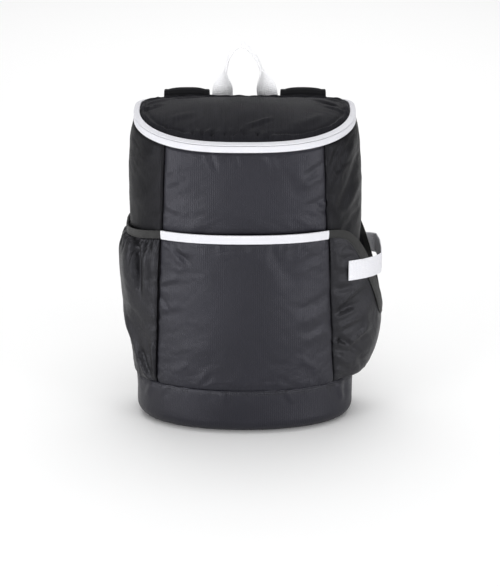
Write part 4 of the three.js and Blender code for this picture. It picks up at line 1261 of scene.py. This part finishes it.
def makeLeftBinding():
    high = np.array(float(bag["pocketTop"]))
    end, start = -float(frontSeam(high)), -float(backSeam(high))
    fine = np.linspace(start + 0.003, end - 0.003, 2001)
    run = runLength(bodyPoint(fine, leftMouth(fine)))
    turn = np.interp(np.linspace(0, run[-1], 300), run, fine)[None, :]
    across = (turn - start) / (end - start)
    swell = np.sin(math.pi * np.clip(across, 0, 1)) ** leftPocket["flatness"]
    rows = tapeRows()[:, None]
    z = leftMouth(turn) - leftPocket["binding"] * (1 - rows)
    wave = 0.5 * softNoise(run[-1] * across / 7, 0, 98) * swell * (1 - rows)
    ground = bodyPoint(turn, z, swell * (leftPocket["ease"] + 1.1) + wave + bag["gap"])
    made, outer, normals = makeTapeOn("left_pocket_binding_tape", ground, leftPocket["bindingThickness"],
                                      materials["binding"], (-0.62,), 0.25)
    runs = [stitchRun(alongRow(outer, 0.28), alongRow(normals, 0.28), pitch=3.2)]
    seat(makeStitches("left_binding_stitches", runs, 0.5, materials["blackThread"]), "binding")
    return seat(made, "binding", "left_pocket_binding")


def makeRightBinding():
    high = np.array(float(bag["pocketTop"]))
    start, end = float(frontSeam(high)), float(backSeam(high))
    fine = np.linspace(start + 0.003, end - 0.003, 4001)
    stand = lambda turn, z: rightStand((turn - start) / (end - start), z) + bag["gap"]
    run = runLength(bodyPoint(fine, rightMouth(fine), stand(fine, rightMouth(fine))))
    turn = np.interp(np.linspace(0, run[-1], 380), run, fine)[None, :]
    rows = tapeRows()[:, None]
    z = rightMouth(turn) - rightPocket["binding"] * steepness(turn) * (1 - rows)
    ground = bodyPoint(turn, z, stand(turn, z))
    thickness = rightPocket["bindingThickness"] * 0.75  # it lies flatter where the mouth is steep
    made, outer, normals = makeTapeOn("right_pocket_binding_tape", ground, thickness,
                                      materials["binding"], (-0.62,), 0.15)
    runs = [stitchRun(alongRow(outer, 0.28), alongRow(normals, 0.28), pitch=3.2)]
    seat(makeStitches("right_binding_stitches", runs, 0.5, materials["blackThread"]), "binding")
    return seat(made, "binding", "right_pocket_binding")


def makePocketStrap():
    inset = rightPocket["strapInset"]
    z = np.full(240, float(rightPocket["strapHeight"]))
    across = np.linspace(inset, 1 - inset, 240)
    turn = mix(frontSeam(z), backSeam(z), across)
    bridge = smoothStep(np.sin(math.pi * across), rightPocket["strapSewn"], 1)
    stand = rightStand(across, z) + rightPocket["bindingThickness"] + 3 * bag["gap"]
    stand = stand - rightPocket["strapDraw"] * bridge
    line = bodyPoint(turn, z, stand + rightPocket["strapThickness"] / 2)
    run = runLength(line)
    even = np.linspace(0, run[-1], 120)
    line = np.stack([np.interp(even, run, line[:, k]) for k in range(3)], axis=1)
    tangent = unit(np.gradient(line, axis=0))
    wide = np.tile([0, 0, 1.0], (len(line), 1))
    wide = unit(wide - tangent * (wide * tangent).sum(1, keepdims=True))
    thick = unit(np.cross(tangent, wide))
    section = tapeSection(bag["webbing"], rightPocket["strapThickness"], ribs=9, ribDepth=0.2, points=54)
    made = makeBand("right_pocket_strap_webbing", line, wide, thick, section, materials["strapWebbingPaintedShade"])
    surface = line + thick * rightPocket["strapThickness"] / 2
    runs = []
    for side in (-1, 1):
        runs.append(stitchRun(surface[:14] + wide[:14] * side * 10.5, thick[:14], lift=-0.1))
        runs.append(stitchRun(surface[-14:] + wide[-14:] * side * 10.5, thick[-14:], lift=-0.1))
    for place in (2, 13, -3, -14):
        column = surface[place] + wide[place] * np.linspace(-10.5, 10.5, 12)[:, None]
        runs.append(stitchRun(column, np.tile(thick[place], (12, 1)), lift=-0.1))
    seat(makeStitches("pocket_strap_stitches", runs, 0.5, materials["whiteThread"]), "white_webbing")
    return seat(made, "white_webbing", "right_pocket_strap")


makeFrontTape()
makeLeftBinding()
makeRightBinding()
makePocketStrap()
print("tapes and bindings made")

# Lines for webbing and straps


# A smooth line through points whose spacing follows theirs, sampled evenly along its length
def smoothLine(points, count):
    points = np.asarray(points, float)
    ends = [2 * points[0] - points[1], *points, 2 * points[-1] - points[-2]]
    ends = np.array(ends)
    knots = np.concatenate([[0], np.cumsum(np.linalg.norm(np.diff(ends, axis=0), axis=1) ** 0.5)])
    pieces = []
    for i in range(1, len(ends) - 2):
        t = np.linspace(knots[i], knots[i + 1], 40)[:, None]
        k, p = knots[i - 1:i + 3], ends[i - 1:i + 3]
        a = [((k[j + 1] - t) * p[j] + (t - k[j]) * p[j + 1]) / (k[j + 1] - k[j]) for j in range(3)]
        b = [((k[j + 2] - t) * a[j] + (t - k[j]) * a[j + 1]) / (k[j + 2] - k[j]) for j in range(2)]
        pieces.append(((k[2] - t) * b[0] + (t - k[1]) * b[1]) / (k[2] - k[1]))
    line = np.concatenate(pieces)
    run = runLength(line)
    even = np.linspace(0, run[-1], count)
    return np.stack([np.interp(even, run, line[:, k]) for k in range(3)], axis=1)


handle = {"halfSpan": 28.5, "rise": 64, "tail": 46, "standOff": 3, "thickness": 3.4, "twistEnd": 0.56,
          "stations": 160}
# across as a share of the half span and rise as a share of the height; it leans to the left
handleCourse = [(-1.0, 0.0), (-0.91, 0.38), (-0.82, 0.56), (-0.66, 0.8), (-0.18, 1.0), (0.42, 0.8),
                (0.68, 0.56), (0.8, 0.38), (1.0, 0.0)]


def makeHandle():
    lidBack = bag["rimBack"] + zipper["height"]
    inner = handle["halfSpan"] - bag["webbing"] / 2
    sewn = lambda z: backFace(inner, z) + bag["gap"] + handle["thickness"] / 2
    foot = lidBack - handle["tail"]
    course = [(-handle["halfSpan"], sewn(foot), foot)]
    for across, rise in handleCourse:
        course.append((across * handle["halfSpan"], sewn(bag["rimBack"]) + handle["standOff"] * rise,
                       lidBack + rise * handle["rise"]))
    course.append((handle["halfSpan"], sewn(foot), foot))
    line = smoothLine(course, handle["stations"])
    tangent = unit(np.gradient(line, axis=0))
    twist = math.pi / 2 * smoothStep((line[:, 2] - lidBack) / handle["rise"], 0, handle["twistEnd"])
    facing = np.where(np.arange(len(line)) < len(line) / 2, 1, -1)
    wide = np.stack([np.cos(twist) * facing, -np.sin(twist), 0 * twist], axis=1)
    wide = unit(wide - tangent * (wide * tangent).sum(1, keepdims=True))
    thick = unit(np.cross(wide, tangent))
    section = tapeSection(bag["webbing"], handle["thickness"], ribs=9, ribDepth=0.26, points=54)
    made = makeBand("grab_handle_webbing", line, wide, thick, section, materials["handleWebbingPaintedLight"])
    runs = []
    for leg in (slice(4, 34), slice(-34, -4)):
        for side in (-1, 1):
            surface = line[leg] + thick[leg] * (-handle["thickness"] / 2) + wide[leg] * side * 9.5
            runs.append(stitchRun(surface, -thick[leg]))
    seat(makeStitches("grab_handle_stitches", runs, 0.5, materials["whiteThread"]), "white_webbing")
    return seat(made, "white_webbing", "grab_handle")


makeHandle()
print("handle made")

strap = {"centre": 74, "width": 56, "endWidth": 40, "thickness": 11, "rise": 6, "sewn": 28, "standOff": 38,
         "endHeight": 205, "taperStart": 0.55, "coverStart": 70, "binding": 7, "stations": 150,
         "adjuster": 22, "adjusterThickness": 5, "rail": 4, "lowerHalfSpan": 88, "lowerSewn": 8, "slack": 6,
         "webbing": 2.2}
# back as a share of the stand-off, rise as a share of the climb, drop as a share of the fall
strapCourse = [(0, 0, 0), (0.03, 0.72, 0), (0.28, 1, 0), (0.72, 1, 0.07), (1, 1, 0.35), (0.92, 1, 0.66),
               (0.62, 1, 1)]


def strapLines(side):
    half = strap["thickness"] / 2
    sewnHeight = bag["rimBack"] - strap["sewn"]
    sewnAt = backFace(strap["centre"] - strap["width"] / 2, sewnHeight) + bag["gap"] + half
    top = bag["rimBack"] + zipper["height"] + strap["rise"] - half
    course = [(side * strap["centre"], sewnAt + backward * strap["standOff"],
               mix(sewnHeight, top, rise) - drop * (top - strap["endHeight"]))
              for backward, rise, drop in strapCourse]
    line = smoothLine(course, strap["stations"])
    heading = unit(line[-1] - line[-3])
    lower = line[-1] + heading * (strap["adjuster"] + 3 * bag["gap"])
    anchorHeight = bag["baseSeam"] + strap["lowerSewn"]
    anchorAt = backFace(strap["lowerHalfSpan"] - bag["webbing"] / 2, anchorHeight)
    anchor = np.array([side * strap["lowerHalfSpan"], anchorAt + bag["gap"] + 1.1, anchorHeight])
    slack = np.array([0, strap["slack"], 0.0])
    webbing = smoothLine([lower, lower + heading * bag["webbing"] / 4, mix(lower, anchor, 0.35) + slack,
                          mix(lower, anchor, 0.72) + slack / 2,
                          anchor + np.array([0, bag["gap"], bag["webbing"] / 2]), anchor], 60)
    return line, heading, webbing


def sideways(line, side=(1.0, 0, 0)):
    tangent = unit(np.gradient(line, axis=0))
    wide = np.tile(side, (len(line), 1))
    wide = unit(wide - tangent * (wide * tangent).sum(1, keepdims=True))
    return wide, unit(np.cross(wide, tangent))


def makeStrap(side, name):
    line, heading, webbingLine = strapLines(side)
    wide, thick = sideways(line)
    share = np.linspace(0, 1, len(line))
    width = mix(strap["width"], strap["endWidth"], smoothStep(share, strap["taperStart"], 1))
    angle = np.linspace(0, 2 * math.pi, 56, endpoint=False)
    section = np.zeros((len(line), 56, 2))
    across = signedPower(np.cos(angle), 0.6)
    section[..., 0] = across[None, :] * width[:, None] / 2
    swell = (1 - 0.5 * np.abs(across) ** 3) * signedPower(np.sin(angle), 0.6) * strap["thickness"] / 2
    uneven = softNoise(share[:, None] * 14, across[None, :] * 2, 91 + side)
    section[..., 1] = swell[None, :] * (1 + 0.05 * uneven)
    pad = makeBand("shoulder_strap_%s_pad" % name, line, wide, thick, section, materials["padding"])
    seat(pad, "back_padding", "shoulder_strap_%s" % name)
    runs = []
    for edge in (-1, 1):
        edgeLine = line + wide * (width[:, None] / 2 - 2.4) * edge
        place = "inner" if edge == -side else "outer"
        bound = makeBand("shoulder_strap_%s_binding_%s" % (name, place), edgeLine, wide, thick,
                         tapeSection(strap["binding"], 6.4, points=14), materials["padding"])
        seat(bound, "back_padding")
        for face in (-1, 1):
            inwards = line + wide * (width[:, None] / 2 - 5.2) * edge + thick * face * 3.0
            runs.append(stitchRun(inwards, thick * face, pitch=3.6))
    low = strap["coverStart"]
    middle = line[low:] - thick[low:] * (strap["thickness"] / 2 + 0.4)
    cover = makeBand("shoulder_strap_%s_webbing" % name, middle, wide[low:], thick[low:],
                     tapeSection(bag["webbing"], 1.8, ribs=9, ribDepth=0.15, points=36),
                     materials["blackWebbing"])
    seat(cover, "black_webbing")
    stitches = makeStitches("shoulder_strap_%s_stitches" % name, runs, 0.5, materials["blackThread"])
    seat(stitches, "back_padding")
    loWide, loThick = sideways(webbingLine)
    lower = makeBand("strap_webbing_%s_weave" % name, webbingLine, loWide, loThick,
                     tapeSection(bag["webbing"], strap["webbing"], ribs=9, ribDepth=0.15, points=36),
                     materials["blackWebbing"])
    seat(lower, "black_webbing", "strap_webbing_%s" % name)
    makeAdjuster(name, line[-1] + heading * bag["gap"], heading, wide[-1], thick[-1])
    return pad


# A ladder buckle: two rails and four bars between them
def makeAdjuster(name, top, heading, wide, thick):
    reach = bag["webbing"] / 2 + strap["rail"] / 2
    parts = []
    for edge in (-1, 1):
        start = top + wide * reach * edge
        end = start + heading * strap["adjuster"]
        parts.append((start, end, strap["rail"], strap["adjusterThickness"]))
    for share, size in ((0.06, 3.2), (0.38, 3.6), (0.66, 3.2), (0.94, 3.2)):
        spot = top + heading * strap["adjuster"] * share
        parts.append((spot - wide * reach, spot + wide * reach, size, strap["adjusterThickness"] * 0.75))
    points, faces = [], []
    angle = np.linspace(0, 2 * math.pi, 20, endpoint=False)
    for start, end, breadth, depth in parts:
        line = mix(start, end, np.array([0, 0.03, 0.1, 0.9, 0.97, 1])[:, None])
        tangent = unit(end - start)
        across = np.cross(tangent, thick)
        grow = np.array([0.55, 0.85, 1, 1, 0.85, 0.55])[:, None, None]
        ring = (signedPower(np.cos(angle), 0.45)[None, :, None] * across * breadth / 2
                + signedPower(np.sin(angle), 0.45)[None, :, None] * thick * depth / 2)
        shape = line[:, None] + ring * grow
        start = sum(len(p) for p in points)
        faces.extend(gridFaces(5, 20, 20, True, start))
        faces.extend([np.arange(20)[::-1] + start, np.arange(20) + start + 100])
        points.append(shape.reshape(-1, 3))
    points = np.concatenate(points)
    total = sum(len(face) for face in faces)
    marks = {"paintedSeamLight": np.zeros(len(points)), "paintedShade": np.zeros(len(points))}
    made = makeObject("strap_adjuster_%s_frame" % name, points, faces, np.zeros((total, 2)), marks,
                      materials["blackPlastic"])
    return seat(faceOutwards(made), "black_plastic", "strap_adjuster_%s" % name)


straps = [makeStrap(-1, "left"), makeStrap(1, "right")]
print("straps made")

frame["nodes"]["zip_slider"].data.materials.clear()
frame["nodes"]["zip_slider"].data.materials.append(materials["blackPlastic"])

# Stitches along the base seam


def makeBaseStitches():
    turn = rimTurns(-2.4, 2.4, 600)
    runs = []
    for down in (2.8, 5.6):
        z = np.full(turn.shape, bag["baseSeam"] - down)
        line = bodyPoint(turn, z, crevice(down, 1.8, 0.8) + 0.1)
        runs.append(stitchRun(line, unit(bodyPoint(turn, z, 5) - line), pitch=3.2))
    return seat(makeStitches("base_stitches", runs, 0.55, materials["blackThread"]), "shell_fabric")


makeBaseStitches()

# The floor and the light
studio = {
    "world": 0.45, "floor": 0.95,
    # name: place, aim, width, height, power
    "lamps": {
        "left": ((-1.4, -1.5, 0.26), (0, 0, 0.2), 0.8, 0.5, 24),
        "right": ((1.5, -1.5, 0.28), (0, 0, 0.2), 0.8, 0.5, 18),
        "top": ((0, 0.1, 2.4), (0, 0, 0.2), 2.0, 2.0, 25),
        "front": ((0.2, -2.0, 1.9), (0, 0, 0.3), 1.4, 1.0, 7),
        "backdrop": ((0, 2.7, 2.2), (0, 2.7, 0), 3.5, 3.0, 38),
    },
}


def addStudio():
    world = bpy.data.worlds.new("studio")
    bpy.context.scene.world = world
    world.use_nodes = True
    world.node_tree.nodes["Background"].inputs["Color"].default_value = (1, 1, 1, 1)
    world.node_tree.nodes["Background"].inputs["Strength"].default_value = studio["world"]
    bpy.context.scene.view_settings.view_transform = "Standard"
    mesh = bpy.data.meshes.new("floor")
    corners = [(-7, -7, -0.0003), (7, -7, -0.0003), (7, 7, -0.0003), (-7, 7, -0.0003)]
    mesh.from_pydata(corners, [], [(0, 1, 2, 3)])
    floor = bpy.data.objects.new("floor", mesh)
    paper, _, shader = startMaterial("paper")
    shader.inputs["Base Color"].default_value = (studio["floor"], studio["floor"], studio["floor"], 1)
    shader.inputs["Roughness"].default_value = 0.9
    shader.inputs["Specular IOR Level"].default_value = 0.0
    mesh.materials.append(paper)
    bpy.context.scene.collection.objects.link(floor)
    for name, (place, aim, width, height, power) in studio["lamps"].items():
        data = bpy.data.lights.new(name, "AREA")
        data.shape = "RECTANGLE"
        data.size, data.size_y, data.energy = width, height, power
        lamp = bpy.data.objects.new(name, data)
        lamp.location = place
        away = [a - b for a, b in zip(place, aim)]
        lamp.rotation_euler = (math.atan2(math.hypot(away[0], away[1]), away[2]), 0,
                               math.atan2(away[0], -away[1]))
        bpy.context.scene.collection.objects.link(lamp)


addStudio()
print("studio lit")

triangles = sum(len(polygon.vertices) - 2 for made in bpy.data.objects if made.type == "MESH"
                for polygon in made.data.polygons)
print("%d triangles in all" % triangles)
